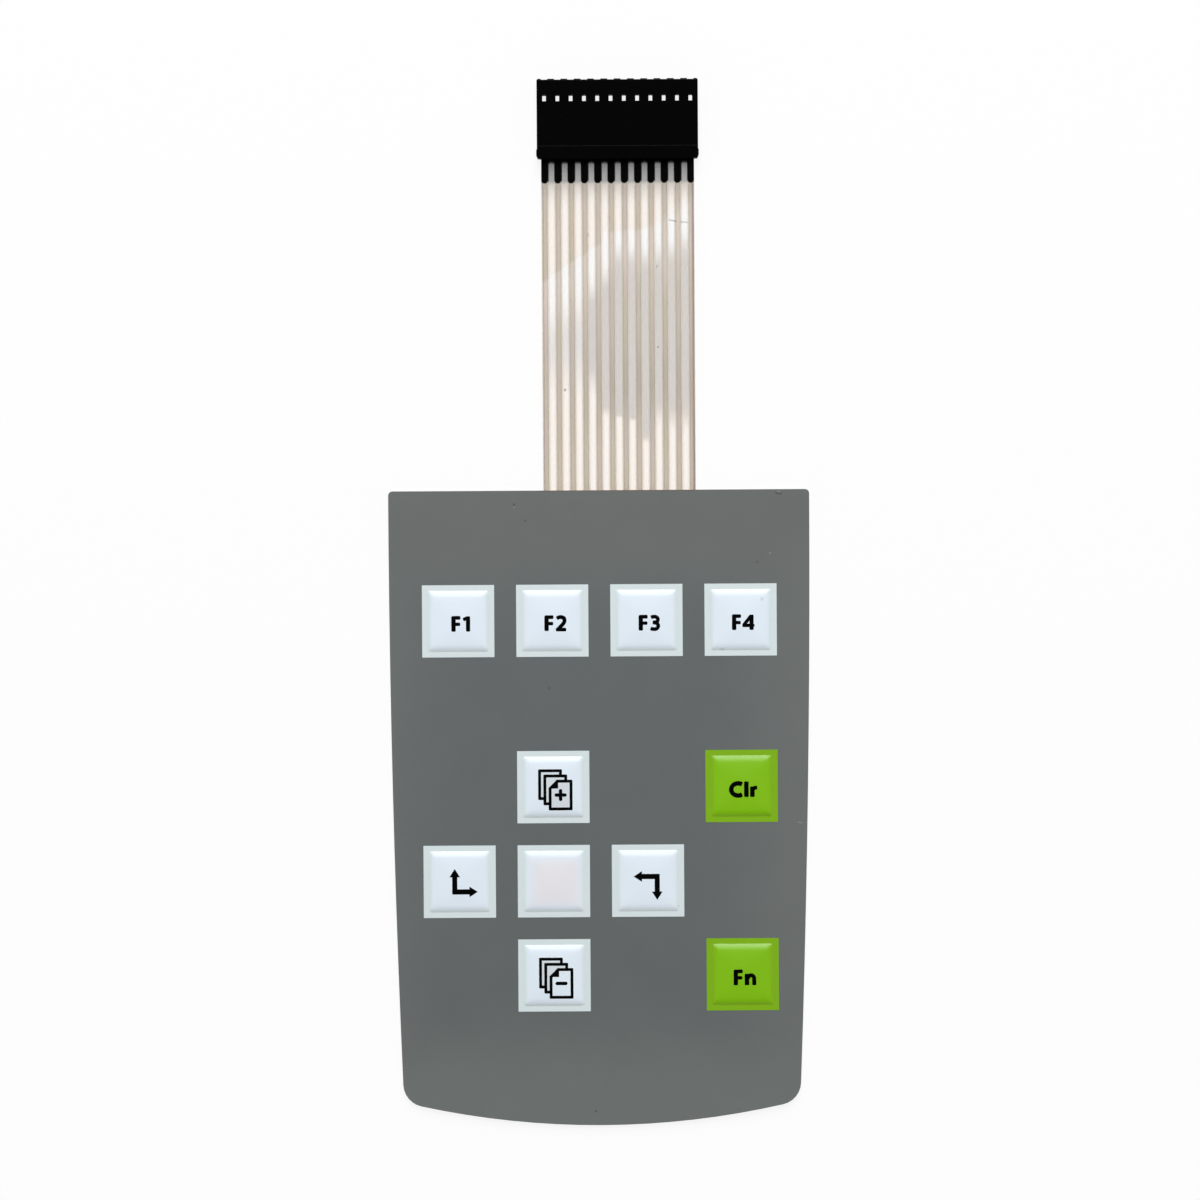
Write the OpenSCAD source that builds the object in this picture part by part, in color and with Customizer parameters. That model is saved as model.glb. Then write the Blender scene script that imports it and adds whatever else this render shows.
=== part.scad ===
// Membrane keypad: an embossed graphic overlay laminated over a printed switch circuit,
// with a flat printed tail that runs into a single-row socket. Millimetres, +Z up.
// The back of the panel lies on z = 0 with the origin at its middle, and the tail leaves towards +Y.

/* [Panel] */
// Distance between the middles of neighbouring keys
key_pitch = 18; // [16:0.5:22]
// Side of the printed square of each key
key_window = 13.8; // [12:0.1:15]
// Panel edge to the outer key squares, along the top edge
side_margin = 6.35; // [5:0.05:10]
// Top edge to the middle of the first key row
top_margin = 24.9; // [20:0.1:32]
// First key row to the second key row
row_gap = 31.8; // [18:0.1:40]
// Middle of the last key row to the lowest point of the bottom edge
bottom_margin = 28.7; // [22:0.1:36]
// Radius of the two long side edges, which run square to the top edge
side_radius = 2900; // [1500:50:6000]
// Radius of the bottom edge
bottom_radius = 160; // [120:5:300]
// Radius of the top corners
top_corner_r = 0.8; // [0.6:0.1:3]
// Radius of the bottom corners
bottom_corner_r = 4.4; // [2:0.2:8]
// How far the inner layers stay inside the overlay's edge
layer_inset = 0.25; // [0.1:0.05:0.5]

/* [Keys] */
// Flat printed border between the key square and the embossed pad
emboss_border = 1.05; // [0.5:0.05:2]
// Width of the sloped flank of the embossed pad
emboss_flank = 1.4; // [0.8:0.1:2.5]
// Height of the embossed pad over the face, at its middle
emboss_rise = 0.45; // [0.3:0.05:0.8]
// Part of that height that the pad's pillow-shaped top gains towards its middle
emboss_crown = 0.22; // [0.05:0.01:0.28]
// Thickness of the coloured print on the key squares
print_t = 0.02; // [0.01:0.005:0.05]

/* [Layers] */
// Release liner
liner_t = 0.1; // [0.06:0.01:0.2]
// Rear mounting adhesive
rear_adhesive_t = 0.13; // [0.05:0.01:0.25]
// Polyester film that carries the printed circuit and the tail
circuit_film_t = 0.125; // [0.075:0.005:0.2]
// Printed silver conductors
trace_t = 0.02; // [0.01:0.005:0.05]
// Spacer between the two circuit films
spacer_t = 0.2; // [0.1:0.01:0.4]
// Diameter of the switch hole in the spacer
spacer_hole_d = 10.6; // [9.5:0.1:12]
// Width of the air channels between the switch holes
vent_w = 1.2; // [0.6:0.1:2]
// Upper membrane
membrane_t = 0.125; // [0.075:0.005:0.2]
// Thickness of the shorting pads under the upper membrane
pad_t = 0.02; // [0.01:0.005:0.05]
// Gap between a shorting pad and the wall of its switch hole
pad_clear = 0.7; // [0.3:0.05:1.5]
// Adhesive under the overlay
overlay_adhesive_t = 0.1; // [0.05:0.01:0.2]
// Room in that adhesive around each embossed pad
pocket_clear = 0.3; // [0.1:0.05:0.8]
// Overlay film
overlay_t = 0.25; // [0.15:0.01:0.4]

/* [Switch circuit] */
// Width of the two interleaved combs at each key
comb_w = 7; // [5.5:0.1:7.4]
// Width of a comb finger
finger_w = 0.5; // [0.3:0.05:0.6]
// Gap between two fingers
finger_gap = 0.45; // [0.3:0.05:0.5]
// Width of the bar that joins a comb's fingers
spine_w = 0.6; // [0.4:0.05:0.8]
// Width of the lines to the keys
trace_w = 0.7; // [0.4:0.05:1]
// Width of the common line
common_w = 1; // [0.6:0.05:1.2]
// Cut across the corners of the lines
corner_cut = 0.8; // [0.2:0.1:1.2]

/* [Tail] */
// Tail's offset from the panel's middle
tail_x = 4; // [-6:0.5:6]
// Length of the tail between the panel and the socket
tail_free = 63.3; // [40:0.1:90]
// Length of the tail inside the socket
tail_insert = 6.2; // [5:0.1:8]
// Film outside the outermost black contact ends
tail_margin = 0.01; // [0.01:0.01:0.5]
// Gap between two conductors on the tail
conductor_gap = 1.4; // [1:0.05:1.6]
// Level stretch of tail at the panel and at the socket
tail_level = 5.5; // [5:0.1:10]
// Length of the black contact coating outside the socket
carbon_out = 4.65; // [2:0.05:5]
// Thickness of the black contact coating
carbon_t = 0.02; // [0.01:0.005:0.05]
// How far the black coating wraps over each side of a conductor
carbon_wrap = 0.06; // [0.02:0.01:0.2]
// Clear cover film on the tail
cover_t = 0.075; // [0.05:0.005:0.1]
// Bare film between the cover film and the panel edge or the black coating
cover_clear = 0.1; // [0.05:0.05:0.5]

/* [Socket] */
// Distance between neighbouring contacts
contact_pitch = 2.54; // [2.5:0.01:2.6]
// Housing beyond the outer contact spaces
housing_end = 0.16; // [0.1:0.02:0.5]
// Thickness of the housing
housing_t = 3; // [2.8:0.1:3.6]
// Wall between the housing's faces and the contact spaces
housing_wall = 0.55; // [0.4:0.05:0.7]
// Wall between two contact spaces
rib_w = 0.64; // [0.5:0.02:0.8]
// Wall at the mating end
front_wall = 1.3; // [0.8:0.1:2]
// How far the rear collar stands out at the sides
collar_out = 0.12; // [0.05:0.01:0.3]
// Length of the rear collar
collar_l = 1.72; // [1:0.02:2.5]
// Length of the collar's corner chamfer
collar_chamfer = 0.66; // [0.3:0.02:0.9]
// How far that chamfer draws the rear end in from the housing's sides
rear_draw_in = 0.16; // [0.05:0.01:0.3]
// Chamfer of the mating end
mating_chamfer = 0.25; // [0.1:0.05:0.4]
// Fine witness line on the upper face, from the rear end
witness_y = 2.47; // [2:0.01:4]
// Width and depth of the witness line
witness_w = 0.1; // [0.05:0.01:0.2]
// Width of the shallow notch at each contact on the mating end
notch_w = 1.25; // [0.8:0.05:1.5]
// Depth of that notch
notch_depth = 0.18; // [0.1:0.01:0.3]
// Square pin entry
entry_w = 0.95; // [0.8:0.01:1]
// Lead-in at the mouth of the pin entry
entry_lead = 0.4; // [0.2:0.05:0.6]
// Test window, across the housing
window_w = 0.7; // [0.5:0.02:0.8]
// Test window, along the housing
window_l = 1.13; // [0.8:0.01:1.4]
// Middle of the test window, from the mating end
window_y = 3.73; // [3:0.01:4.2]
// Room between the tail and the sides, end and top of its slot
slot_clear = 0.1; // [0.05:0.01:0.2]

/* [Contacts] */
// Sheet thickness of a contact
contact_t = 0.2; // [0.15:0.01:0.25]
// Room between a contact and its space
contact_clear = 0.12; // [0.05:0.01:0.2]
// Side of the square pin that the contact grips
pin_w = 0.64; // [0.6:0.01:0.66]
// How much the gap between the springs is smaller than the pin
preload = 0.1; // [0.05:0.01:0.2]
// Tail film's depth under the pin's middle
tail_drop = 0.5; // [0.4:0.05:0.6]
// Length of the two contact springs
spring_l = 6.1; // [5:0.1:8]
// Tip of the springs to their narrowest place
nip_back = 3.2; // [2.6:0.1:4]
// Length over which the springs open again
flare_l = 1.1; // [0.8:0.1:1.4]
// Room between the tips and the wall at the mating end
tip_clear = 1.2; // [0.5:0.1:2]
// Room between the tail's end and the springs
root_clear = 0.5; // [0.3:0.1:1]
// Length of the plate that joins the springs ahead of the tail
root_l = 1.2; // [0.8:0.1:1.6]
// Side of the square piercing tines
tine_w = 0.25; // [0.2:0.01:0.3]
// Tines' distance from the contact's middle
tine_x = 0.3; // [0.25:0.01:0.32]
// Distance between the two pairs of tines
tine_pitch = 2.4; // [1.5:0.1:3]
// Room around a tine in the tail
tine_clear = 0.05; // [0.02:0.01:0.06]

/* [Hidden] */
$fn = 48;
// Overlap of a cutting shape with what it cuts
cut = 1;

// Keys as [column, row], row by row; the last column's lower keys are the green ones
KEYS = [[0, 0], [1, 0], [2, 0], [3, 0], [1, 1], [3, 1], [0, 2], [1, 2], [2, 2], [1, 3], [3, 3]];
columns = 4;
rows = 4;
WHITE_KEYS = [for (k = KEYS) if (!is_green(k)) k];
GREEN_KEYS = [for (k = KEYS) if (is_green(k)) k];
common_way = 0;
ways = len(KEYS) + 1;

panel_w = (columns - 1) * key_pitch + key_window + 2 * side_margin;
panel_h = top_margin + row_gap + (rows - 2) * key_pitch + bottom_margin;
panel_top = panel_h / 2;
film_top = panel_top - layer_inset;

// Levels of the layers, from the back
z_adhesive = liner_t;
z_circuit = z_adhesive + rear_adhesive_t;
z_traces = z_circuit + circuit_film_t;
z_spacer = z_traces + trace_t;
z_membrane = z_spacer + spacer_t;
z_overlay_adhesive = z_membrane + membrane_t;
z_overlay = z_overlay_adhesive + overlay_adhesive_t;
z_face = z_overlay + overlay_t;

// Embossed pad; the last step of its pillow-shaped top is the level middle
pad_side = key_window - 2 * emboss_border;
flank_steps = 4;
crown_steps = 4;
pad_level = (pad_side / 2 - emboss_flank) / crown_steps;

// Combs and lines of the switch circuit
fingers = 4;
// Largest share of a short stretch of line that a corner cut takes
cut_share = 0.4;
comb_h = 2 * fingers * finger_w + (2 * fingers - 1) * finger_gap;
lanes_most = max([for (k = KEYS) lane(k)]);
lane_pitch = (key_pitch - comb_w) / (lanes_most + 2);
fan_base = key_y(0) + comb_h / 2;
fan_levels = ways / 2 + 1;
fan_pitch = (panel_top - fan_base) / (fan_levels + 3);
header_y = key_y(rows - 1) - comb_h / 2 - 2 * lane_pitch;

// Tail, conductors and socket along Y
conductor_w = contact_pitch - conductor_gap;
carbon_w = conductor_w + 2 * carbon_wrap;
tail_w = (ways - 1) * contact_pitch + carbon_w + 2 * tail_margin;
rear_y = panel_top + tail_free;
tail_end = rear_y + tail_insert;
carbon_y = rear_y - carbon_out;
rise_from = panel_top + tail_level;
rise_to = rear_y - tail_level;
rise_steps = 16;
tip_steps = 8;

housing_w = ways * contact_pitch + 2 * housing_end;
spring_root = tail_insert + root_clear;
spring_tip = spring_root + spring_l;
housing_l = spring_tip + tip_clear + front_wall;
cavity_w = contact_pitch - rib_w;
cavity_h = housing_t - 2 * housing_wall;
pin_z = housing_t / 2;
z_tail = pin_z - tail_drop;
z_contact = z_tail + circuit_film_t + trace_t + carbon_t;
contact_w = cavity_w - 2 * contact_clear;
tine_mid = tail_insert / 2;

function is_green(k) = k[0] == columns - 1 && k[1] > 0;
function key_x(column) = (column - (columns - 1) / 2) * key_pitch;
function key_y(row) = panel_top - top_margin - (row == 0 ? 0 : row_gap + (row - 1) * key_pitch);
function way_x(way) = tail_x + (way - (ways - 1) / 2) * contact_pitch;

// Points of an arc about c, from angle a0 to a1
function arc(c, r, a0, a1, steps) =
    [for (i = [0:steps]) let (a = a0 + (a1 - a0) * i / steps) c + r * [cos(a), sin(a)]];
function without_first(points) = [for (i = [1:len(points) - 1]) points[i]];
function angle_to(from, to) = atan2(to[1] - from[1], to[0] - from[0]);

// Lower crossing of two circles
function crossing(c1, r1, c2, r2) =
    let (d = c2 - c1, l = norm(d), a = (r1 * r1 - r2 * r2 + l * l) / (2 * l), h = sqrt(r1 * r1 - a * a))
    c1 + (a * d - h * [-d[1], d[0]]) / l;

// Panel outline: straight top, long side arcs, an arched bottom and four rounded corners
function panel_outline(inset) =
    let (
        side_c = [panel_w / 2 - side_radius, panel_top],
        base_c = [0, bottom_radius - panel_h / 2],
        side_r = side_radius - inset,
        base_r = bottom_radius - inset,
        top_r = top_corner_r - inset,
        low_r = bottom_corner_r - inset,
        top_y = panel_top - inset - top_r,
        top_c = [side_c[0] + sqrt(pow(side_r - top_r, 2) - pow(panel_top - top_y, 2)), top_y],
        low_c = crossing(side_c, side_r - low_r, base_c, base_r - low_r),
        side_a = angle_to(side_c, top_c),
        low_a = angle_to(side_c, low_c),
        base_a = angle_to(base_c, low_c),
        half = concat(
            arc(top_c, top_r, 90, side_a, 3),
            without_first(arc(side_c, side_r, side_a, low_a, 10)),
            without_first(arc(low_c, low_r, low_a, base_a, 6)),
            without_first(arc(base_c, base_r, base_a, -90, 8))))
    concat(half, [for (i = [len(half) - 2:-1:0]) [-half[i][0], half[i][1]]]);

// Keys above this one in its column, counting itself: the place of its line beside the column
function lane(k) = len([for (j = KEYS) if (j[0] == k[0] && j[1] <= k[1]) j]);
function way_of(k) = len([for (j = KEYS) if (j[0] < k[0]) j]) + lane(k);
function lane_x(k) = key_x(k[0]) + comb_w / 2 + lane(k) * lane_pitch;
function bus_x(column) = key_x(column) - comb_w / 2 - lane_pitch;
function goes_right(k) = way_x(way_of(k)) > lane_x(k);

// Level at which a line turns towards the tail, so that no two lines cross
function fan_rank(k) =
    goes_right(k)
        ? len([for (j = KEYS) if (goes_right(j) && way_of(j) > way_of(k)) j])
        : len([for (j = KEYS) if (!goes_right(j) && way_of(j) < way_of(k)) j]);
function fan_y(rank) = fan_base + (rank + 1) * fan_pitch;

// Ribbon of constant width along a path, with mitred corners
function unit(v) = v / norm(v);
function across(path, i) = let (d = unit(path[i + 1] - path[i])) [-d[1], d[0]];
function mitre(path, i) =
    i == 0 ? across(path, 0)
    : i == len(path) - 1 ? across(path, i - 1)
    : let (a = across(path, i - 1), b = across(path, i)) (a + b) / (1 + a * b);
function ribbon(path, w) =
    let (last = len(path) - 1)
    concat(
        [for (i = [0:last]) path[i] + mitre(path, i) * w / 2],
        [for (i = [last:-1:0]) path[i] - mitre(path, i) * w / 2]);

// The same path with its corners cut, by less where a stretch is short
function cut_corners(path) =
    let (last = len(path) - 1)
    concat(
        [path[0]],
        [for (i = [1:last - 1])
            let (
                back = path[i - 1] - path[i],
                ahead = path[i + 1] - path[i],
                c = min(corner_cut, cut_share * norm(back), cut_share * norm(ahead)))
            each [path[i] + unit(back) * c, path[i] + unit(ahead) * c]],
        [path[last]]);

// One comb of a key, its spine on the left; turned by half a turn it is the other one
function comb_points() =
    let (
        left = -comb_w / 2,
        stem = left + spine_w,
        tip = comb_w / 2 - spine_w - finger_gap,
        low = -comb_h / 2,
        step = 2 * (finger_w + finger_gap))
    concat(
        [[left, low]],
        [for (i = [0:fingers - 1])
            let (y = low + i * step)
            each [if (i > 0) [stem, y], [tip, y], [tip, y + finger_w], [stem, y + finger_w]]],
        [[stem, -low], [left, -low]]);

// Underside of the tail film: level, a smooth rise to the middle of the socket, level again
function tail_height(y) =
    let (t = min(max((y - rise_from) / (rise_to - rise_from), 0), 1))
    z_circuit + (z_tail - z_circuit) * t * t * (3 - 2 * t);
function tail_stations(from, to) =
    let (rise = [for (i = [0:rise_steps]) rise_from + (rise_to - rise_from) * i / rise_steps])
    concat([from], [for (y = rise) if (y > from && y < to) y], [to]);

// Height of the embossed pad at a distance from its foot: a flank that eases into a pillow-shaped top
function eased(t) = let (rest = 1 - min(t, 1)) 1 - rest * rest;
function pad_height(d) =
    (emboss_rise - emboss_crown) * eased(d / emboss_flank)
    + emboss_crown * eased(d / (pad_side / 2 - pad_level));

// Section through the embossed pad
function pad_section(depth) =
    let (
        foot = pad_side / 2,
        steps = concat(
            [for (i = [0:flank_steps]) emboss_flank * i / flank_steps],
            [for (i = [1:crown_steps - 1]) emboss_flank + pad_level * i]),
        side = [for (d = steps) [foot - d, pad_height(d)]])
    concat(
        [[-foot, -depth], [foot, -depth]],
        side,
        [for (i = [len(side) - 1:-1:0]) [-side[i][0], side[i][1]]]);

module at_keys(keys) {
    for (k = keys)
        translate([key_x(k[0]), key_y(k[1]), 0])
            children();
}

module at_ways() {
    for (way = [0:ways - 1])
        translate([way_x(way), rear_y, 0])
            children();
}

module sheet(z, t, inset = 0) {
    translate([0, 0, z])
        linear_extrude(t)
            polygon(panel_outline(inset));
}

// A profile drawn in Y and Z, drawn out along X about the middle
module along_x(w) {
    rotate([90, 0, 90])
        linear_extrude(w, center = true)
            children();
}

// Strip that follows the tail at a height over the film's underside
module tail_strip(x, w, over, t, from, to) {
    stations = tail_stations(from, to);
    lower = [for (y = stations) [y, tail_height(y) + over]];
    upper = [for (i = [len(stations) - 1:-1:0]) lower[i] + [0, t]];
    translate([x, 0, 0])
        along_x(w)
            polygon(concat(lower, upper));
}

// Solid embossed pad whose foot lies at z
module pad_form(z, depth) {
    translate([0, 0, z])
        intersection() {
            along_x(pad_side + cut)
                polygon(pad_section(depth));
            rotate([0, 0, 90])
                along_x(pad_side + cut)
                    polygon(pad_section(depth));
        }
}

// Square holes of the piercing tines through the tail
module tine_holes() {
    side = tine_w + 2 * tine_clear;
    at_ways()
        for (x = [-tine_x, tine_x], y = [-tine_pitch / 2, tine_pitch / 2])
            translate([x, tine_mid + y, z_tail])
                cube([side, side, 2 * cut], center = true);
}

module release_liner() {
    color("wheat")
        sheet(0, liner_t);
}

module rear_adhesive() {
    color("lightgray")
        sheet(z_adhesive, rear_adhesive_t, layer_inset);
}

module lower_circuit() {
    color("whitesmoke")
        difference() {
            union() {
                sheet(z_circuit, circuit_film_t, layer_inset);
                tail_strip(tail_x, tail_w, 0, circuit_film_t, film_top, tail_end);
            }
            tine_holes();
        }
}

// Flat part of one key's line, from its comb to the tail
module key_line(k) {
    x = key_x(k[0]);
    y = key_y(k[1]);
    end_x = way_x(way_of(k));
    turn_y = fan_y(fan_rank(k));
    path = [[x + (comb_w - spine_w) / 2, y], [lane_x(k), y], [lane_x(k), turn_y], [end_x, turn_y],
            [end_x, film_top - conductor_w]];
    polygon(ribbon(cut_corners(path), trace_w));
    translate([x, y])
        rotate(180)
            polygon(comb_points());
    tail_root(end_x);
}

// Flat part of the common line: down one side, along the bottom and up beside each column
module common_line() {
    start_x = way_x(common_way);
    turn_y = fan_y(fan_levels);
    last = columns - 1;
    end_y = key_y(0) + trace_w;
    path = [[start_x, film_top - conductor_w], [start_x, turn_y], [bus_x(0), turn_y], [bus_x(0), header_y],
            [bus_x(last), header_y], [bus_x(last), end_y]];
    polygon(ribbon(cut_corners(path), common_w));
    for (column = [1:last - 1])
        polygon(ribbon([[bus_x(column), header_y], [bus_x(column), end_y]], common_w));
    for (k = KEYS) {
        y = key_y(k[1]);
        polygon(ribbon([[bus_x(k[0]), y], [key_x(k[0]) - (comb_w - spine_w) / 2, y]], trace_w));
        translate([key_x(k[0]), y])
            polygon(comb_points());
    }
    tail_root(start_x);
}

// Full-width end of a line at the top edge of the film
module tail_root(x) {
    translate([x - conductor_w / 2, film_top - 2 * conductor_w])
        square([conductor_w, 2 * conductor_w]);
}

module silver_traces() {
    color("tan")
        difference() {
            union() {
                for (k = KEYS)
                    translate([0, 0, z_traces])
                        linear_extrude(trace_t)
                            key_line(k);
                translate([0, 0, z_traces])
                    linear_extrude(trace_t)
                        common_line();
                for (way = [0:ways - 1])
                    tail_strip(way_x(way), conductor_w, circuit_film_t, trace_t, film_top, tail_end);
            }
            tine_holes();
        }
}

// Black coating wrapped over the conductors' contact ends, round where it begins
module carbon_contacts() {
    half = carbon_w / 2;
    z_film = z_tail + circuit_film_t;
    color("black")
        difference() {
            at_ways()
                difference() {
                    translate([0, 0, z_film])
                        linear_extrude(trace_t + carbon_t)
                            polygon(concat(
                                arc([0, half - carbon_out], half, 180, 360, tip_steps),
                                [[half, tail_insert], [-half, tail_insert]]));
                    translate([-conductor_w / 2, -carbon_out - cut, z_film - cut])
                        cube([conductor_w, carbon_out + tail_insert + 2 * cut, trace_t + cut]);
                }
            tine_holes();
        }
}

module tail_cover() {
    color("ghostwhite")
        tail_strip(tail_x, tail_w, circuit_film_t + trace_t, cover_t,
                   panel_top + cover_clear, carbon_y - cover_clear);
}

// Spacer with a round hole at each key and air channels from hole to hole
module circuit_spacer() {
    color("gainsboro")
        translate([0, 0, z_spacer])
            linear_extrude(spacer_t)
                difference() {
                    polygon(panel_outline(layer_inset));
                    at_keys(KEYS)
                        circle(d = spacer_hole_d);
                    for (a = KEYS, b = KEYS)
                        if (next_in_first_row(a, b) || next_in_column(a, b))
                            vent(a, b);
                }
}

function next_in_first_row(a, b) = a[1] == 0 && b[1] == 0 && b[0] == a[0] + 1;
function next_in_column(a, b) = a[0] == b[0] && lane(b) == lane(a) + 1;

module vent(a, b) {
    polygon(ribbon([[key_x(a[0]), key_y(a[1])], [key_x(b[0]), key_y(b[1])]], vent_w));
}

module shorting_pads() {
    color("dimgray")
        at_keys(KEYS)
            translate([0, 0, z_membrane - pad_t])
                cylinder(d = spacer_hole_d - 2 * pad_clear, h = pad_t);
}

module upper_membrane() {
    color("aliceblue")
        sheet(z_membrane, membrane_t, layer_inset);
}

module overlay_adhesive() {
    pocket = pad_side + 2 * pocket_clear;
    color("silver")
        translate([0, 0, z_overlay_adhesive])
            linear_extrude(overlay_adhesive_t)
                difference() {
                    polygon(panel_outline(layer_inset));
                    at_keys(KEYS)
                        square(pocket, center = true);
                }
}

// Overlay film with a hollow embossed pad at each key
module graphic_overlay() {
    color([0.4, 0.42, 0.415])
        difference() {
            union() {
                sheet(z_overlay, overlay_t);
                at_keys(KEYS)
                    pad_form(z_face, overlay_t / 2);
            }
            at_keys(KEYS)
                pad_form(z_overlay, cut);
        }
}

// Coloured print on one key, over its border and its embossed pad
module key_field() {
    difference() {
        union() {
            translate([-key_window / 2, -key_window / 2, z_face])
                cube([key_window, key_window, print_t]);
            pad_form(z_face + print_t, print_t / 2);
        }
        pad_form(z_face, cut);
    }
}

module white_key_fields() {
    color("aliceblue")
        at_keys(WHITE_KEYS)
            key_field();
}

module green_key_fields() {
    color("yellowgreen")
        at_keys(GREEN_KEYS)
            key_field();
}

// Housing seen from above: collar at the rear end, a shallow notch at each contact
module housing_plan() {
    side = housing_w / 2;
    collar = side + collar_out;
    half = [[side - rear_draw_in, 0], [collar, collar_chamfer], [collar, collar_l],
            [side, collar_l + collar_out], [side, housing_l - mating_chamfer],
            [side - mating_chamfer, housing_l]];
    difference() {
        polygon(concat(half, [for (i = [len(half) - 1:-1:0]) [-half[i][0], half[i][1]]]));
        for (way = [0:ways - 1])
            translate([way_x(way) - tail_x - notch_w / 2, housing_l - notch_depth])
                square([notch_w, cut]);
    }
}

// Housing seen from the side
module housing_side() {
    end = housing_l - mating_chamfer;
    polygon([[0, 0], [end, 0], [housing_l, mating_chamfer], [housing_l, housing_t - mating_chamfer],
             [end, housing_t], [0, housing_t]]);
}

// Lead-in at the mouth of a pin entry, widening towards the mating end
module entry_mouth() {
    narrow = entry_w / 2;
    wide = narrow + entry_lead;
    section = [[-narrow, -entry_lead], [narrow, -entry_lead], [wide, 0], [-wide, 0]];
    intersection() {
        linear_extrude(2 * wide, center = true)
            polygon(section);
        along_x(2 * wide)
            polygon([for (p = section) [p[1], p[0]]]);
    }
}

// Space of one contact, its pin entry and its test window, about the contact's middle
module contact_space() {
    mouth_y = housing_l - notch_depth;
    translate([-cavity_w / 2, -cut, housing_wall])
        cube([cavity_w, housing_l - front_wall + cut, cavity_h]);
    translate([-entry_w / 2, housing_l - front_wall - cut, pin_z - entry_w / 2])
        cube([entry_w, front_wall + 2 * cut, entry_w]);
    translate([0, mouth_y, pin_z])
        entry_mouth();
    translate([-window_w / 2, housing_l - window_y - window_l / 2, -cut])
        cube([window_w, window_l, housing_t + 2 * cut]);
}

module connector_housing() {
    slot_w = tail_w + 2 * slot_clear;
    slot_h = z_contact - z_tail + slot_clear;
    color([0.06, 0.06, 0.065])
        difference() {
            translate([tail_x, rear_y, 0])
                intersection() {
                    linear_extrude(housing_t)
                        housing_plan();
                    along_x(housing_w + 2 * collar_out + cut)
                        housing_side();
                }
            at_ways()
                contact_space();
            translate([tail_x - slot_w / 2, rear_y - cut, z_tail])
                cube([slot_w, tail_insert + slot_clear + cut, slot_h]);
            translate([tail_x - housing_w, rear_y + witness_y, housing_t - witness_w])
                cube([2 * housing_w, witness_w, cut]);
        }
}

// Contact: a plate clinched on the tail by tines, and two springs that grip a pin between them
module contact() {
    root_x = (contact_w - contact_t) / 2;
    nip_x = (pin_w - preload + contact_t) / 2;
    nip_y = spring_tip - nip_back;
    plate_y = contact_clear;
    spring = [[root_x, spring_root], [root_x, spring_root + root_l], [nip_x, nip_y],
              [root_x, nip_y + flare_l], [root_x, spring_tip]];
    spring_h = housing_t - housing_wall - contact_clear - z_contact;
    translate([-contact_w / 2, plate_y, z_contact])
        cube([contact_w, spring_root + root_l - plate_y, contact_t]);
    for (side = [0, 1])
        mirror([side, 0, 0])
            translate([0, 0, z_contact])
                linear_extrude(spring_h)
                    polygon(ribbon(spring, contact_t));
    for (x = [-tine_x, tine_x], y = [-tine_pitch / 2, tine_pitch / 2])
        translate([x - tine_w / 2, tine_mid + y - tine_w / 2, housing_wall + contact_clear])
            cube([tine_w, tine_w, z_contact + contact_t / 2 - housing_wall - contact_clear]);
}

module terminal(number) {
    color("gainsboro")
        translate([way_x(number - 1), rear_y, 0])
            contact();
}

release_liner();
rear_adhesive();
lower_circuit();
silver_traces();
carbon_contacts();
tail_cover();
circuit_spacer();
shorting_pads();
upper_membrane();
overlay_adhesive();
graphic_overlay();
white_key_fields();
green_key_fields();
connector_housing();
for (i = [1:ways])
    terminal(i);
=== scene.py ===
"""Looks of a membrane keypad, built around its CAD frame.

The embossed overlay, its printed keys and their legends are smooth meshes made here. The laminate under
them, the printed tail and the socket keep their CAD shapes and get their finishes here.
"""

import logging
import math
from collections.abc import Callable, Sequence
from dataclasses import dataclass, replace
from enum import Enum

import bpy
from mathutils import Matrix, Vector
from mathutils.geometry import delaunay_2d_cdt


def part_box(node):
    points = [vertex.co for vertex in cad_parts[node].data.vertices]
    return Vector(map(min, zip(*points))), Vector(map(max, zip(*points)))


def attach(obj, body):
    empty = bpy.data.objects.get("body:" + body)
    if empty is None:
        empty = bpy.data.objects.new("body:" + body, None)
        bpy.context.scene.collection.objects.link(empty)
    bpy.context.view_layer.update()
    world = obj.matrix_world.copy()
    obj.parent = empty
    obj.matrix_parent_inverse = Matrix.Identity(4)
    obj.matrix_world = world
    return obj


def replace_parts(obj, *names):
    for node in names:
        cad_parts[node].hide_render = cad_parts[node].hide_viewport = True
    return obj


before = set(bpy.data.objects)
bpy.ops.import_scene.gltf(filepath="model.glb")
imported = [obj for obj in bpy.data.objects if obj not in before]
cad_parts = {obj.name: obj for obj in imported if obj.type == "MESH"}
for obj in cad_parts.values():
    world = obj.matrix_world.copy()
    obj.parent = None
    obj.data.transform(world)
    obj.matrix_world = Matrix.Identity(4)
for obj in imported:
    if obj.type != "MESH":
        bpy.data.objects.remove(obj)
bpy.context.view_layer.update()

LOG = logging.getLogger("keypad")
ROOT = "root"

# Lengths are millimetres in this file and metres in Blender.
MM = 0.001
# Points and faces nearer than this are one.
HAIR = MM / 1000
# Decimals of a millimetre that tell two mesh points apart.
PLACES = 4

Point = tuple[float, float]
Loop = list[Point]
Height = Callable[[float, float], float]
Rgb = tuple[float, float, float]
Feed = bpy.types.NodeSocket | float | tuple[float, ...]

WHITE: Rgb = (1.0, 1.0, 1.0)
BLACK: Rgb = (0.0, 0.0, 0.0)
# A screen's transfer curve: a straight foot, then a power.
FULL_LEVEL = 255
FOOT_END = 0.04045
FOOT_SLOPE = 12.92
CURVE_SHIFT = 0.055
CURVE_POWER = 2.4

# Places of the colour sockets on Blender's mix node.
MIX_FIRST = 6
MIX_SECOND = 7
MIX_RESULT = 2

QUARTER_TURN = 90.0
# A fill keeps what lies inside an outline, and joins points nearer than this.
FILL_INSIDE = 1
FILL_MERGE = 1e-5
# A side's point nearer to its path than this share of half the width is folded over.
FOLD_CLEAR = 0.99

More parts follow.
